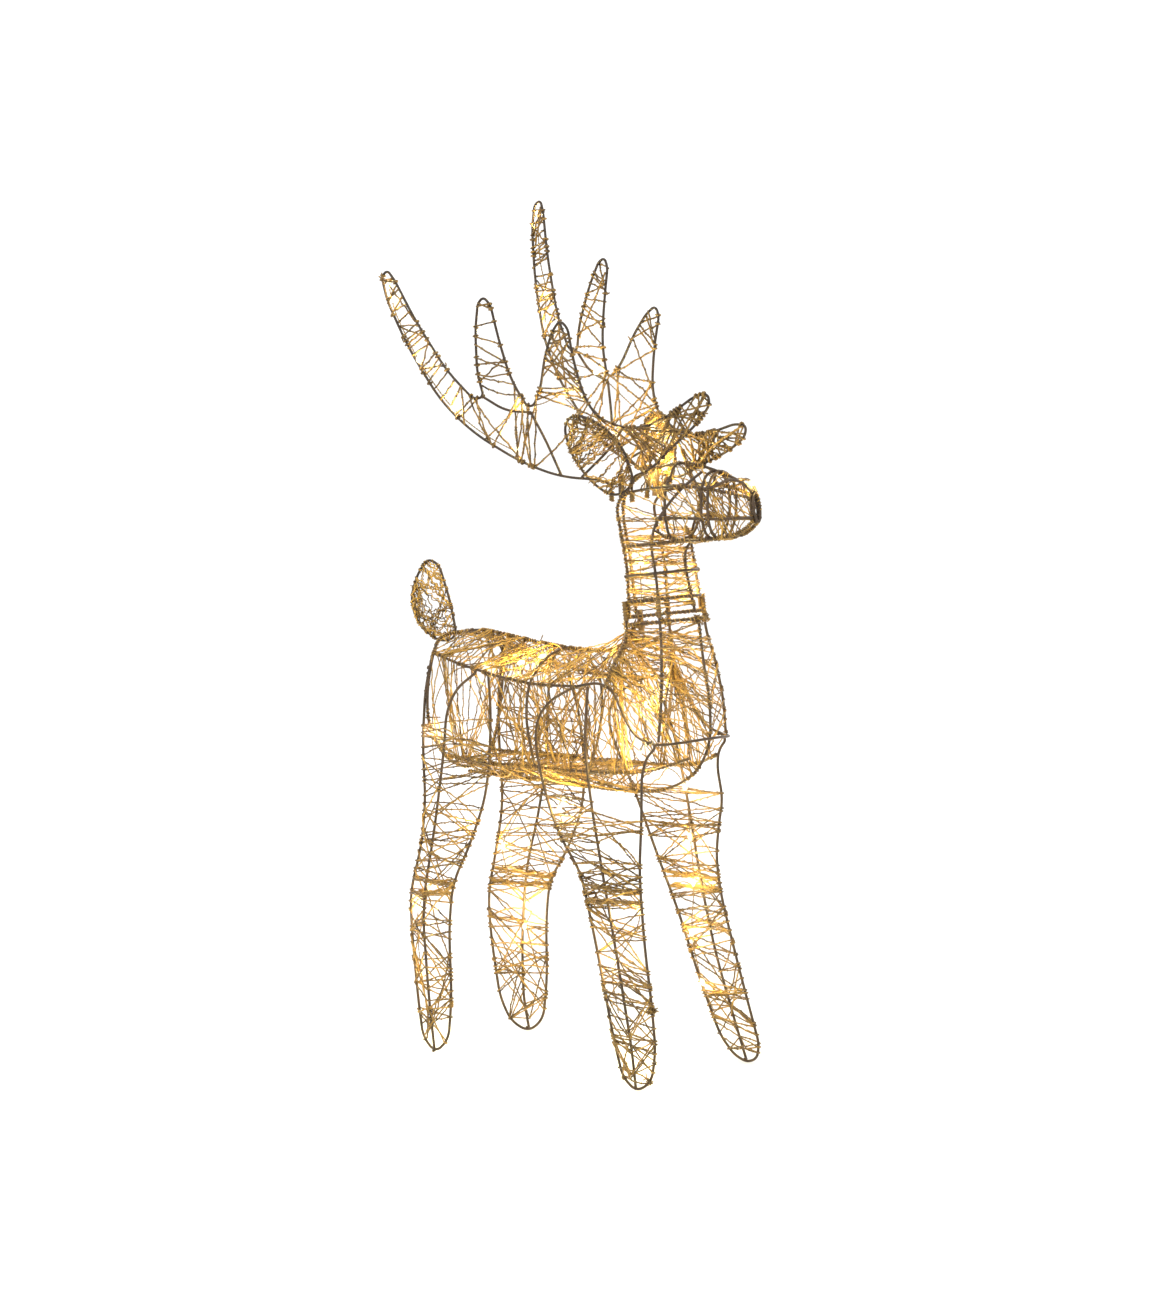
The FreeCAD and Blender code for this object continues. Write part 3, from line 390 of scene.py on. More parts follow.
def new_piece(name, vertices, faces, slot, body, replaced=(), tones=None):
    """A smooth mesh that rides on a body, stands for the replaced CAD nodes and has its slot's finish."""
    mesh = bpy.data.meshes.new(name)
    mesh.from_pydata(vertices.tolist(), [], faces)
    mesh.polygons.foreach_set("use_smooth", [True] * len(mesh.polygons))
    if tones is not None:
        mesh.attributes.new("tone", "FLOAT", "POINT").data.foreach_set("value", tones.astype(np.float32))
    mesh.materials.append(LOOKS[slot])
    piece = bpy.data.objects.new(name, mesh)
    bpy.context.scene.collection.objects.link(piece)
    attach(piece, body)
    if replaced:
        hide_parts(*replaced)
    return piece


# ---------------------------------------------------------------- materials


def material_nodes(name):
    material = bpy.data.materials.new(name)
    material.use_nodes = True
    tree = material.node_tree
    return material, tree, tree.nodes["Principled BSDF"]


def noise(tree, scale, detail=3.0, roughness=0.6):
    """A noise over the object, its size given in metres."""
    texture = tree.nodes.new("ShaderNodeTexNoise")
    texture.inputs["Scale"].default_value = 1 / scale
    texture.inputs["Detail"].default_value = detail
    texture.inputs["Roughness"].default_value = roughness
    place = tree.nodes.new("ShaderNodeTexCoord")
    tree.links.new(place.outputs["Object"], texture.inputs["Vector"])
    return texture.outputs["Fac"]


def ramp(tree, value, stops):
    """Colours along a value, as (place, colour)."""
    node = tree.nodes.new("ShaderNodeValToRGB")
    points = node.color_ramp.elements
    while len(points) < len(stops):
        points.new(0.5)
    for point, (place, colour) in zip(points, stops):
        point.position = place
        point.color = (*colour, 1)
    tree.links.new(value, node.inputs["Fac"])
    return node.outputs["Color"]


def spread_to(tree, value, low, high, start=0.3, end=0.7):
    node = tree.nodes.new("ShaderNodeMapRange")
    for socket, number in (("From Min", start), ("From Max", end), ("To Min", low), ("To Max", high)):
        node.inputs[socket].default_value = number
    tree.links.new(value, node.inputs["Value"])
    return node.outputs["Result"]


def bump(tree, shader, value, height, strength=0.6):
    node = tree.nodes.new("ShaderNodeBump")
    node.inputs["Distance"].default_value = height
    node.inputs["Strength"].default_value = strength
    tree.links.new(value, node.inputs["Height"])
    tree.links.new(node.outputs["Normal"], shader.inputs["Normal"])


def mixed(tree, factor, a, b):
    node = tree.nodes.new("ShaderNodeMix")
    node.data_type = "RGBA"
    tree.links.new(factor, node.inputs["Factor"])
    tree.links.new(a, node.inputs["A"])
    tree.links.new(b, node.inputs["B"])
    return node.outputs["Result"]


def coated_rod(name, dark, mid, worn):
    """Bronze powder coat on rod: patchy tone, worn specks along it and a fine orange-peel surface."""
    material, tree, shader = material_nodes(name)
    patches = ramp(tree, noise(tree, 22 * MM, 4), [(0.30, dark), (0.62, mid)])
    specks = ramp(tree, noise(tree, 1.5 * MM, 3), [(0.56, (0, 0, 0)), (0.66, (1, 1, 1))])
    wear = ramp(tree, noise(tree, 9 * MM, 2), [(0.45, mid), (0.7, worn)])
    tree.links.new(mixed(tree, specks, patches, wear), shader.inputs["Base Color"])
    tree.links.new(spread_to(tree, noise(tree, 3 * MM), 0.30, 0.55), shader.inputs["Roughness"])
    shader.inputs["Metallic"].default_value = 0.3
    bump(tree, shader, noise(tree, 0.6 * MM, 2), 0.06 * MM)
    return material


def thread_metal(name, dark, mid, bright):
    """Fine glitter thread: dark and golden stretches, with painted glints: small bright flecks in the base
    colour where facets would catch light.
    """
    material, tree, shader = material_nodes(name)
    tone = tree.nodes.new("ShaderNodeAttribute")
    tone.attribute_name = "tone"
    lengths = ramp(tree, noise(tree, 7 * MM, 3, 0.7), [(0.36, dark), (0.52, mid), (0.72, bright)])
    plain = ramp(tree, tone.outputs["Fac"], [(0.0, dark), (0.5, mid), (1.0, bright)])
    blend = tree.nodes.new("ShaderNodeMix")
    blend.data_type = "RGBA"
    blend.inputs["Factor"].default_value = 0.65
    tree.links.new(lengths, blend.inputs["A"])
    tree.links.new(plain, blend.inputs["B"])
    # Painted glints: small bright flecks in the base colour stand in for light caught by the thread's facets.
    glint_flecks = ramp(tree, noise(tree, 0.9 * MM, 1), [(0.60, (0, 0, 0)), (0.68, (1, 1, 1))])
    painted_glint = ramp(tree, noise(tree, 2 * MM, 1), [(0.4, mid), (0.6, bright)])
    tree.links.new(mixed(tree, glint_flecks, blend.outputs["Result"], painted_glint), shader.inputs["Base Color"])
    tree.links.new(spread_to(tree, noise(tree, 1.2 * MM), 0.18, 0.48), shader.inputs["Roughness"])
    shader.inputs["Metallic"].default_value = 0.25
    bump(tree, shader, noise(tree, 0.6 * MM, 2), 0.2 * MM, 1.0)
    return material


def moulded_plastic(name, dark, light, gloss):
    material, tree, shader = material_nodes(name)
    tone = ramp(tree, noise(tree, 4 * MM, 4), [(0.3, dark), (0.7, light)])
    tree.links.new(tone, shader.inputs["Base Color"])
    tree.links.new(spread_to(tree, noise(tree, 1.5 * MM), gloss, gloss + 0.2), shader.inputs["Roughness"])
    bump(tree, shader, noise(tree, 0.35 * MM, 2), 0.04 * MM, 0.4)
    return material


def lit_resin(name, deep, colour, strength):
    """Clear moulded resin with its light on: bright, uneven and a little deeper in colour in places."""
    material, tree, shader = material_nodes(name)
    glow = ramp(tree, noise(tree, 2.5 * MM, 2), [(0.35, deep), (0.6, colour)])
    tree.links.new(glow, shader.inputs["Emission Color"])
    tree.links.new(ramp(tree, noise(tree, 3 * MM), [(0.3, (0.95, 0.85, 0.6)), (0.7, (1, 0.95, 0.85))]),
                   shader.inputs["Base Color"])
    shader.inputs["Emission Strength"].default_value = strength
    shader.inputs["Roughness"].default_value = 0.12
    bump(tree, shader, noise(tree, 1.0 * MM, 2), 0.1 * MM, 0.5)
    return material


DARK_BRONZE, BRONZE, WORN_BRONZE = (0.030, 0.017, 0.008), (0.072, 0.042, 0.018), (0.20, 0.12, 0.045)
DARK_TINE, TINE, WORN_TINE = (0.016, 0.010, 0.006), (0.045, 0.026, 0.012), (0.13, 0.078, 0.030)
DARK_SLEEVE, SLEEVE, WORN_SLEEVE = (0.10, 0.058, 0.020), (0.20, 0.12, 0.036), (0.40, 0.25, 0.08)
DARK_THREAD, THREAD, GOLD_THREAD = (0.020, 0.011, 0.005), (0.19, 0.105, 0.022), (0.78, 0.47, 0.095)
DARK_BAND, BAND, GOLD_BAND = (0.035, 0.020, 0.007), (0.19, 0.11, 0.026), (0.62, 0.37, 0.08)
DARK_LEAD, LEAD, GOLD_LEAD = (0.08, 0.048, 0.018), (0.2, 0.125, 0.042), (0.45, 0.30, 0.1)
DARK_TIE, TIE, WORN_TIE = (0.05, 0.03, 0.013), (0.12, 0.072, 0.032), (0.3, 0.2, 0.1)
DARK_PLASTIC, PLASTIC = (0.07, 0.042, 0.018), (0.13, 0.08, 0.032)
DEEP_GLOW, GLOW, GLOW_STRENGTH = (1.0, 0.72, 0.22), (1.0, 0.90, 0.50), 1.25

LOOKS = {
    "frame_rod": coated_rod("bronze_rod", DARK_BRONZE, BRONZE, WORN_BRONZE),
    "tine_rod": coated_rod("bronze_tine", DARK_TINE, TINE, WORN_TINE),
    "band_wire": thread_metal("band_thread", DARK_BAND, BAND, GOLD_BAND),
    "sleeve_tube": coated_rod("sleeve_coat", DARK_SLEEVE, SLEEVE, WORN_SLEEVE),
    "thread_wire": thread_metal("glitter_thread", DARK_THREAD, THREAD, GOLD_THREAD),
    "light_lead": thread_metal("lead_wire", DARK_LEAD, LEAD, GOLD_LEAD),
    "light_drop": lit_resin("lit_drop", DEEP_GLOW, GLOW, GLOW_STRENGTH),
    "connector": moulded_plastic("brown_plastic", DARK_PLASTIC, PLASTIC, 0.32),
    "tie_wire": thread_metal("tie_wire_metal", DARK_TIE, TIE, WORN_TIE),
}
for node in NODES.values():
    for slot in node.material_slots:
        slot.material = LOOKS[slot.material.name.split(".")[0]]

# ---------------------------------------------------------------- thread


def wrapped(place, incoming, outgoing, extra_turns, clearance):
    """Points of a thread that comes to a rod, goes round its far side and leaves it."""
    rod = field.rod_at(place)
    if rod is None:
        return [Vector(place)]
    middle, axis = rod
    before = incoming - axis * incoming.dot(axis)
    after = outgoing - axis * outgoing.dot(axis)
    if min(before.length, after.length) < 1e-3:
        return [middle + axis.orthogonal().normalized() * (ROD_RADIUS + clearance)]
    before.normalize()
    after.normalize()
    outer = axis.cross(before)
    if outer.dot(after) > 0:
        outer = -outer
    angle = math.atan2(-after.dot(outer), after.dot(before)) % (2 * math.pi) + 2 * math.pi * extra_turns
    creep = math.copysign(2.3 * THREAD_RADIUS / (2 * math.pi), (incoming + outgoing).dot(axis))
    steps = max(2, int(angle / math.radians(42)) + 1)
    points = []
    for i in range(steps):
        turn = angle * i / (steps - 1)
        around = outer * math.cos(turn) + before * math.sin(turn)
        points.append(middle + around * (ROD_RADIUS + clearance) + axis * creep * (turn - angle / 2))
    return points


def span(start, end, bow, curl):
    """A free stretch of thread: it bows, wavers and has small knots. Gives points and their swelling."""
    run = end - start
    length = run.length
    if length < 1.5 * MM:
        return [], []
    ahead = run.normalized()
    side = ahead.orthogonal().normalized()
    up = ahead.cross(side)
    turn = chance.uniform(0, 2 * math.pi)
    reach = bow * length * chance.gauss(0, 1)
    phase, wave = chance.uniform(0, 2 * math.pi), chance.uniform(8, 14) * MM
    count = max(2, int(length / (CURL_STEP if curl > 1 * MM else KNOT_EVERY)))
    points, swelling = [], []
    for i in range(count):
        share = min(0.97, max(0.03, (i + chance.uniform(0.2, 0.8)) / count))
        swing = math.sin(math.pi * share)
        angle = phase + 2 * math.pi * share * length / wave
        sideways = swing * (reach * math.cos(turn) + curl * math.cos(angle)) + chance.gauss(0, WAVER)
        upwards = swing * (reach * math.sin(turn) + curl * math.sin(angle)) + chance.gauss(0, WAVER)
        offset = side * sideways + up * upwards
        here = start + run * share + offset
        if chance.random() < KNOT_SHARE and 0.06 < share < 0.94:
            half = ahead * chance.uniform(0.5, 1.1) * MM
            size = chance.uniform(1.3, 1.9)
            points += [here - half, here, here + half]
            swelling += [1.0, size, 1.0]
        else:
            points.append(here)
            swelling.append(chance.uniform(0.85, 1.15))
    return points, swelling


def loose_end(before, last):
    """The cut end of a thread, bent away from the rod that it is tied to."""
    ahead = (last - before).normalized()
    points = []
    for _ in range(2):
        ahead = (ahead + Vector([chance.gauss(0, 0.5) for _ in range(3)])).normalized()
        points.append((points[-1] if points else last) + ahead * chance.uniform(1.2, 2.6) * MM)
    return points


def wind_thread(tubes, chain, bow, curl, radius, gold):
    """One thread along a chain of places on rods, tied off round the first and last."""
    places = [Vector(point) for point in chain]
    points, radii, tones = [], [], []
    for i, place in enumerate(places):
        incoming = (place - places[i - 1]) if i else (places[1] - place)
        outgoing = (places[i + 1] - place) if i < len(places) - 1 else incoming
        if min(incoming.length, outgoing.length) < 0.1 * MM:
            continue
        tie_off = i in (0, len(places) - 1)
        extra = int(chance.random() < (TIE_OFF_TURNS if tie_off else MORE_TURNS))
        knot = wrapped(place, incoming.normalized(), outgoing.normalized(), extra, radius)
        if points:
            free, swelling = span(points[-1], knot[0], bow, curl)
            points += free
            radii += [radius * size for size in swelling]
            tones += [gold * chance.uniform(*chance.choice(TONES))] * len(free)
        points += knot
        radii += [radius * chance.uniform(1.0, 1.3)] * len(knot)
        tones += [gold * chance.uniform(0.0, 0.6)] * len(knot)
    if len(points) < 2:
        return
    head = loose_end(points[1], points[0]) if chance.random() < LOOSE_END_SHARE else []
    foot = loose_end(points[-2], points[-1]) if chance.random() < LOOSE_END_SHARE else []
    points = head[::-1] + points + foot
    thin = radius * LOOSE_END_THINNING
    radii = [thin] * len(head) + radii + [thin] * len(foot)
    tones = [0.3] * len(head) + tones + [0.3] * len(foot)
    tubes.add(points, radii, tones)


def hugs_rod(a, b):
    """Whether a stretch lies along the rod that it starts from, where it would only hide the rod."""
    rod = field.rod_at((a + b) / 2, 4.5 * MM)
    return rod is not None and abs(rod[1].dot(Vector(b - a).normalized())) > 0.8


def off_the_rods(chain):
    """A chain cut where it runs along a rod, as the chains that are left."""
    left = [[chain[0]]]
    for a, b in zip(chain, chain[1:]):
        if hugs_rod(a, b):
            left.append([b])
        else:
            left[-1].append(b)
    return [part for part in left if len(part) > 1]


def thread_piece(node, chain):
    """The name of the piece that a chain of a winding goes into."""
    name = node.replace("winding", "thread")
    if node != "body_winding":
        return name
    return name + ("_chest" if np.mean(chain, axis=0)[0] > CHEST_FROM else "_torso")


# Each winding: its node, the body it rides on, how far its stretches bow, how they curl, the thread's girth,
# how often each stretch is wound, and how golden it is.
WINDINGS = [
    ("leg_windings_front", "frame", 0.03, 0.4 * MM, 1.1, 1, 0.8),
    ("leg_windings_rear", "frame", 0.03, 0.4 * MM, 1.1, 1, 0.9),
    ("body_winding", "frame", 0.05, 0.8 * MM, 0.9, 1, 1.0),
    ("tail_winding", "frame", 0.08, 1.6 * MM, 0.75, 2, 1.3),
    ("head_winding", "head", 0.04, 0.7 * MM, 0.9, 1, 1.2),
    ("ear_windings", "head", 0.08, 1.3 * MM, 0.8, 2, 1.0),
    ("antler_winding_left", "antler_left", 0.03, 0.5 * MM, 1.3, 1, 0.65),
    ("antler_winding_right", "antler_right", 0.03, 0.5 * MM, 1.3, 1, 0.5),
]
for node, body, bow, curl, girth, times, gold in WINDINGS:
    pieces = {}
    for chain in chains(node):
        tubes = pieces.setdefault(thread_piece(node, chain), Tubes())
        for part in off_the_rods(chain) * times:
            wind_thread(tubes, part, bow, curl, THREAD_RADIUS * girth, gold)
    for name, tubes in pieces.items():
        tubes.piece(name, "thread_wire", body, [node])

# ---------------------------------------------------------------- light string

BODY_OF_STRING = {
    "body": "frame", "head": "head", "antler_left": "antler_left", "antler_right": "antler_right",
}


def twisted_pair(tubes, line, radius=LEAD_WIRE_RADIUS, twist=LEAD_TWIST):
    line = resampled(line, LEAD_STEP)
    ahead = np.gradient(line, axis=0)
    ahead /= np.linalg.norm(ahead, axis=1)[:, None]
    side = Vector(ahead[0]).orthogonal().normalized()
    points = ([], [])
    for i, (here, direction) in enumerate(zip(map(Vector, line), map(Vector, ahead))):
        side = (side - direction * side.dot(direction)).normalized()
        up = direction.cross(side)
        angle = 2 * math.pi * i * LEAD_STEP / twist
        out = (side * math.cos(angle) + up * math.sin(angle)) * radius
        points[0].append(here + out)
        points[1].append(here - out)
    for wire in points:
        tubes.add(wire, radius, chance.uniform(0.3, 0.7))


BLOB_RINGS, BLOB_SEGMENTS = 11, 14


def blob(length, radius, lumpiness):
    """A drop along +Z with drawn-out ends and an uneven girth. Gives its vertices and faces."""
    vertices, faces = [], []
    lumps = chance.uniform(0, 2 * math.pi)
    for i in range(BLOB_RINGS):
        share = i / (BLOB_RINGS - 1)
        girth = math.sin(math.pi * (0.03 + 0.94 * share)) ** 0.8
        for j in range(BLOB_SEGMENTS):
            turn = 2 * math.pi * j / BLOB_SEGMENTS
            swell = math.sin(2 * turn + lumps) + 0.7 * math.sin(3 * turn + 5 * share + 2 * lumps)
            out = radius * girth * (1 + lumpiness * swell)
            vertices.append((out * math.cos(turn), out * math.sin(turn), length * (share - 0.5)))
    for i in range(BLOB_RINGS - 1):
        for j in range(BLOB_SEGMENTS):
            a, b = i * BLOB_SEGMENTS + j, i * BLOB_SEGMENTS + (j + 1) % BLOB_SEGMENTS
            faces.append((a, b, b + BLOB_SEGMENTS, a + BLOB_SEGMENTS))
    faces.append(tuple(range(BLOB_SEGMENTS - 1, -1, -1)))
    last = (BLOB_RINGS - 1) * BLOB_SEGMENTS
    faces.append(tuple(range(last, last + BLOB_SEGMENTS)))
    return np.array(vertices), faces


def add_light(name, place, body):
    """The light in a drop. Its falloff is soft close by, as the drop spreads it."""
    lamp = bpy.data.lights.new(name, "POINT")
    lamp.energy = LAMP_POWER
    lamp.color = LAMP_COLOUR
    lamp.shadow_soft_size = LAMP_SIZE
    lamp.use_nodes = True
    tree = lamp.node_tree
    falloff = tree.nodes.new("ShaderNodeLightFalloff")
    falloff.inputs["Strength"].default_value = 1
    falloff.inputs["Smooth"].default_value = LAMP_SOFTNESS
    tree.links.new(falloff.outputs["Quadratic"], tree.nodes["Emission"].inputs["Strength"])
    holder = bpy.data.objects.new(name, lamp)
    holder.location = place
    bpy.context.scene.collection.objects.link(holder)
    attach(holder, body)


for part, body in BODY_OF_STRING.items():
    tubes, drops = Tubes(), Solids()
    for line in centre_lines("light_string_" + part, LEAD_RADIUS):
        twisted_pair(tubes, line)
    tubes.piece("lead_" + part, "light_lead", body, ["light_string_" + part])
    for i, (points, _) in enumerate(solids("light_drops_" + part)):
        middle, axes = main_axis(points)
        drops.add(*blob(np.ptp((points - middle) @ axes[2]), DROP_RADIUS, DROP_LUMPINESS), middle, axes[2])
        add_light("glow_%s_%d" % (part, i), middle, body)
    drops.piece("drops_" + part, "light_drop", body, ["light_drops_" + part]).visible_shadow = False

# ---------------------------------------------------------------- thread wound along rods and rings


def ring_line(points, normals, radius):
    """The middle line of one closed ring, from its surface."""
    centres = points - normals * radius
    middle, axes = main_axis(centres)
    turn = np.arctan2((centres - middle) @ axes[1], (centres - middle) @ axes[2])
    slices = np.floor((turn + math.pi) / (2 * math.pi) * RING_SLICES).astype(int) % RING_SLICES
    line = [centres[slices == i].mean(0) for i in range(RING_SLICES) if (slices == i).any()]
    return np.array(line + line[:1])


def coiled_along(tubes, line, rod_radius, pitch, patchy):
    """Thread wound along a rod's middle line, at uneven pitch, leaving some patches bare."""
    radius = rod_radius + COIL_THREAD_RADIUS
    line = resampled(line, 1 * MM)
    ahead = np.gradient(line, axis=0)
    side = Vector(ahead[0]).orthogonal().normalized()
    angle, points, radii, tones = 0.0, [], [], []
    bare = False
    for here, direction in zip(map(Vector, line), map(Vector, ahead)):
        direction.normalize()
        side = (side - direction * side.dot(direction)).normalized()
        up = direction.cross(side)
        if chance.random() < 0.04:
            bare = chance.random() < patchy
        turns = chance.uniform(0.6, 1.5) / pitch * MM
        if bare and points:
            tubes.add(points, radii, tones)
            points, radii, tones = [], [], []
        if not bare:
            tone, out = chance.uniform(0.1, 1.0), radius + chance.uniform(0, 0.35) * MM
            steps = max(1, int(turns * 9))
            for step in range(steps):
                now = angle + 2 * math.pi * turns * step / steps
                around = side * math.cos(now) + up * math.sin(now)
                points.append(here + direction * MM * step / steps + around * out)
                radii.append(COIL_THREAD_RADIUS * chance.uniform(0.8, 1.25))
                tones.append(tone)
        angle += 2 * math.pi * turns
    if points:
        tubes.add(points, radii, tones)


# Rings and rods with thread wound along them: node, its wire's radius, pitch, share left bare, and body.
RING_COILS = [
    ("neck_collar", ROD_RADIUS, 6 * MM, 0.5, "frame"),
    ("neck_rings", ROD_RADIUS, 6 * MM, 0.5, "head"), ("muzzle_end_rings", ROD_RADIUS, 3.5 * MM, 0.3, "head"),
    ("tail_loop", TAIL_ROD_RADIUS, 9 * MM, 0.7, "frame"), ("waist_hoop", ROD_RADIUS, 8 * MM, 0.7, "frame"),
    ("rump_hoop", ROD_RADIUS, 5 * MM, 0.5, "frame"),
]
ROD_COILS = [
    ("spine_rod", ROD_RADIUS, 3.5 * MM, 0.3, "frame"), ("keel_rod", ROD_RADIUS, 5 * MM, 0.5, "frame"),
    ("belly_rails", ROD_RADIUS, 5 * MM, 0.4, "frame"), ("side_rails", ROD_RADIUS, 8 * MM, 0.7, "frame"),
    ("crown_rod", ROD_RADIUS, 4 * MM, 0.4, "head"), ("temple_rods", ROD_RADIUS, 5 * MM, 0.5, "head"),
    ("jaw_rods", ROD_RADIUS, 3 * MM, 0.3, "head"),
]
TUBE_COILS = [
    ("head_sleeves", SLEEVE_RADIUS, 4 * MM, 0.3, "head"),
    ("antler_sockets", SLEEVE_RADIUS, 3 * MM, 0.2, "head"),
]
coils = {"frame": Tubes(), "head": Tubes()}
for node, radius, pitch, patchy, body in RING_COILS:
    for points, normals in solids(node):
        coiled_along(coils[body], ring_line(points, normals, radius), radius, pitch, patchy)
for node, radius, pitch, patchy, body in ROD_COILS:
    for line in centre_lines(node, radius):
        coiled_along(coils[body], line, radius, pitch, patchy)
for node, radius, pitch, patchy, body in TUBE_COILS:
    for points, _ in solids(node):
        middle, axes = main_axis(points)
        reach = axes[2] * np.abs((points - middle) @ axes[2]).max() * 0.96
        coiled_along(coils[body], [middle - reach, middle + reach], radius, pitch, patchy)
for body, tubes in coils.items():
    tubes.piece("coils_" + body, "thread_wire", body)


def tuft(tubes, place, strands):
    """A knot of thread on a rod: short loops that cross, and cut ends."""
    for _ in range(strands):
        here = Vector(place)
        points = [here]
        for _ in range(chance.randint(4, 8)):
            points.append(here + Vector([chance.gauss(0, 0.45) for _ in range(3)]) * TUFT_REACH)
        tubes.add(points, THREAD_RADIUS * chance.uniform(0.7, 1.1), chance.uniform(0.0, 0.8))


def foremost(node, height, within=3 * MM):
    """The place on a node's rods that lies furthest ahead at a height."""
    line = np.concatenate(centre_lines(node, ROD_RADIUS))
    level = line[np.abs(line[:, 2] - height) < within]
    return level[np.argmax(level[:, 0])]


tufts = Tubes()
collar_line = np.concatenate([ring_line(*ring, ROD_RADIUS) for ring in solids("neck_collar")])
for share in COLLAR_TUFTS:
    tuft(tufts, collar_line[int(share * (len(collar_line) - 1))], TUFT_STRANDS)
for height, strands in LEG_TUFTS:
    tuft(tufts, foremost("leg_front_right_loop", height), strands)
tufts.piece("tufts_frame", "thread_wire", "frame")


def wandering(count, reach):
    """A smooth uneven run of numbers, for a strand that wanders beside its line."""
    along = np.linspace(0, 2 * math.pi, count)
    swings = [chance.gauss(0, 0.6) * np.sin(wave * along + chance.uniform(0, 7)) for wave in (1, 2, 3, 5)]
    return reach * sum(swings) / 1.3


def loose_bundle(tubes, line, strands, reach):
    """Several turns of thread laid side by side along a line, each wandering a little."""
    line = resampled(line, 3 * MM)
    middle, axes = main_axis(line)
    out = line - middle
    out /= np.linalg.norm(out, axis=1)[:, None]
    for _ in range(strands):
        up_down = wandering(len(line), reach)[:, None] * axes[0]
        outward = np.abs(wandering(len(line), reach / 2))[:, None] * out
        size = COIL_THREAD_RADIUS * np.array([chance.choice((1.1, 1.3, 1.9)) for _ in line])
        tubes.add(line + up_down + outward, size, chance.uniform(0.2, 1.0))


bands = Tubes()
for points, normals in solids("knee_bands"):
    loose_bundle(bands, ring_line(points, normals, BAND_RADIUS), BUNDLE_STRANDS, BUNDLE_REACH)
bands.piece("knee_bundles", "band_wire", "frame", ["knee_bands"])

# ---------------------------------------------------------------- welds, ties and connector ribs

welds = {}
for place, body in field.meetings():
    size = chance.uniform(0.85, 1.2)
    shape = blob(2.6 * WELD_RADIUS * size, WELD_RADIUS * size, 0.12)
    axis = [chance.gauss(0, 1) for _ in range(3)]
    welds.setdefault(body, Solids()).add(*shape, place, axis)
for body, solids_here in sorted(welds.items()):
    solids_here.piece("welds_" + body, "frame_rod", body)


def twist_tie(tubes, middle, axis):
    """Soft wire taken twice round the rod and the lead, its ends twisted into a short tail."""
    axis = Vector(axis)
    side = axis.orthogonal().normalized()
    up = axis.cross(side)
    centre = Vector(middle)
    loop = []
    for i in range(TIE_STEPS + 1):
        turn = 4 * math.pi * i / TIE_STEPS
        around = (side * math.cos(turn) + up * math.sin(turn)) * TIE_RADIUS * chance.uniform(0.96, 1.03)
        loop.append(centre + around + axis * (i / TIE_STEPS - 0.5) * 3 * TIE_WIRE)
    tubes.add(loop, TIE_WIRE, 0.4)
    twisted_pair(tubes, [centre + side * TIE_RADIUS, centre + side * (TIE_RADIUS + TIE_TAIL) + up * 2 * MM],
                 TIE_WIRE, TIE_TAIL_TWIST)


ties = Tubes()
for points, _ in solids("string_ties"):
    middle, axes = main_axis(points)
    twist_tie(ties, middle, axes[0])
ties.piece("twist_ties", "tie_wire", "frame", ["string_ties"])

CONNECTORS = [("link_plug_head", "head"), ("antler_link_plug_left", "antler_left"),
              ("antler_link_plug_right", "antler_right"), ("lead_inlet", "frame")]
for node, body in CONNECTORS:
    ribs = Tubes()
    for points, _ in solids(node):
        middle, axes = main_axis(points)
        axis = Vector(axes[2])
        along = (points - middle) @ axes[2]
        out = np.linalg.norm((points - middle) - np.outer(along, axes[2]), axis=1)
        radius = out.max()
        full = along[out > radius * 0.97]
        side = axis.orthogonal().normalized()
        up = axis.cross(side)
        for share in RIB_PLACES:
            centre = Vector(middle) + axis * (full.min() + (full.max() - full.min()) * share)
            turns = [2 * math.pi * i / RIB_SIDES for i in range(RIB_SIDES + 1)]
            ring = [centre + (side * math.cos(turn) + up * math.sin(turn)) * radius for turn in turns]
            ribs.add(ring, RIB_WIRE, 0.5)
    ribs.piece("ribs_" + node, "connector", body)

# ---------------------------------------------------------------- stage, camera and lights

FLOOR_HALF = 40.0
STAGE_WHITE = (0.92, 0.92, 0.915)


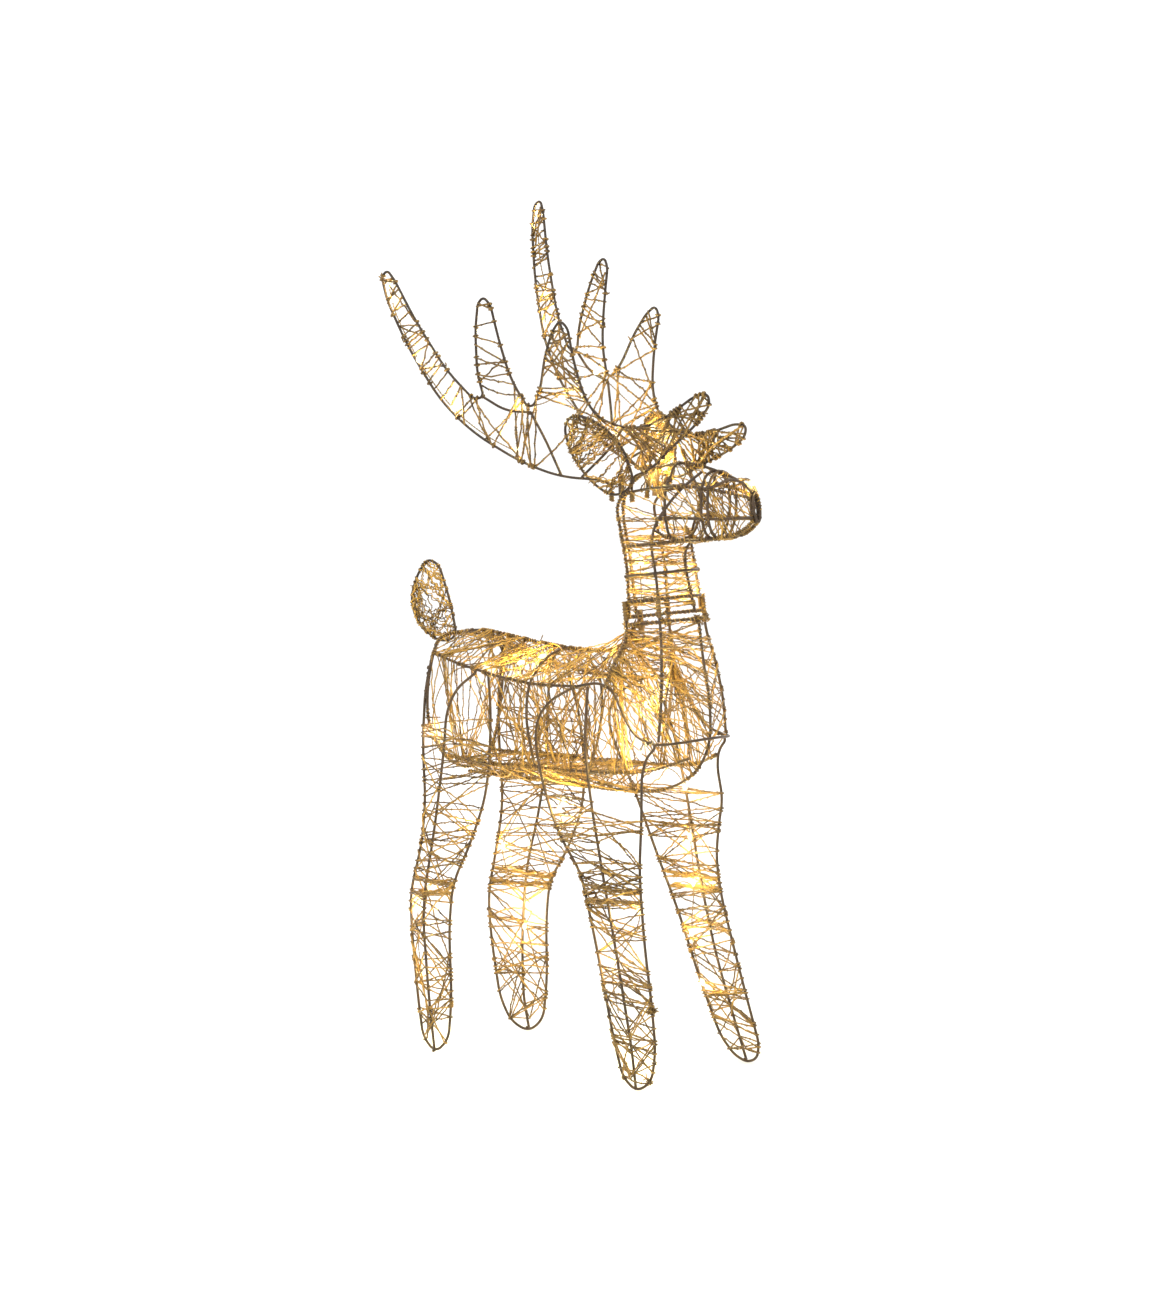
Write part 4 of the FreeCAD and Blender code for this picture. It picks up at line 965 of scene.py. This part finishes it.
def pale_floor():
    mesh = bpy.data.meshes.new("floor")
    half = FLOOR_HALF
    corners = [(-half, -half, 0), (half, -half, 0), (half, half, 0), (-half, half, 0)]
    mesh.from_pydata(corners, [], [(0, 1, 2, 3)])
    material, tree, shader = material_nodes("pale_floor")
    tree.links.new(ramp(tree, noise(tree, 0.8), [(0.3, STAGE_WHITE), (0.7, (0.935, 0.935, 0.93))]),
                   shader.inputs["Base Color"])
    shader.inputs["Roughness"].default_value = 0.9
    shader.inputs["Specular IOR Level"].default_value = 0.1
    mesh.materials.append(material)
    floor = bpy.data.objects.new("floor", mesh)
    bpy.context.scene.collection.objects.link(floor)


def soft_box(name, azimuth, height, distance, size, power):
    """A square soft light that faces the middle of the figure, at a compass angle from its front."""
    lamp = bpy.data.lights.new(name, "AREA")
    lamp.size, lamp.energy = size, power
    holder = bpy.data.objects.new(name, lamp)
    angle = math.radians(azimuth)
    holder.location = (distance * math.cos(angle), distance * math.sin(angle), height)
    aim = Vector((0, 0, 0.5)) - holder.location
    holder.rotation_euler = aim.to_track_quat("-Z", "Y").to_euler()
    bpy.context.scene.collection.objects.link(holder)


pale_floor()
soft_box("key_light", -75, 2.4, 3.0, 1.6, 45)
soft_box("rim_light", 120, 2.0, 3.0, 1.4, 25)

world = bpy.data.worlds.new("studio")
world.use_nodes = True
world.node_tree.nodes["Background"].inputs["Color"].default_value = (1, 1, 1, 1)
world.node_tree.nodes["Background"].inputs["Strength"].default_value = 1.2
bpy.context.scene.world = world
bpy.context.scene.view_settings.view_transform = "Standard"

CAMERA_AZIMUTH, CAMERA_ELEVATION = math.radians(40), math.radians(5)
CAMERA_DISTANCE = 4.5
CAMERA_TARGET = Vector((0, 0, 0.5))
LENS_MM, SENSOR_MM = 108.4, 36.0
SHIFT_Y = -0.0154

camera_data = bpy.data.cameras.new("camera")
camera_data.lens, camera_data.sensor_width, camera_data.shift_y = LENS_MM, SENSOR_MM, SHIFT_Y
camera = bpy.data.objects.new("camera", camera_data)
back = Vector((math.sin(CAMERA_AZIMUTH) * math.cos(CAMERA_ELEVATION),
               -math.cos(CAMERA_AZIMUTH) * math.cos(CAMERA_ELEVATION), math.sin(CAMERA_ELEVATION)))
camera.location = CAMERA_TARGET + back * CAMERA_DISTANCE
camera.rotation_euler = (-back).to_track_quat("-Z", "Y").to_euler()
bpy.context.scene.collection.objects.link(camera)
bpy.context.scene.camera = camera
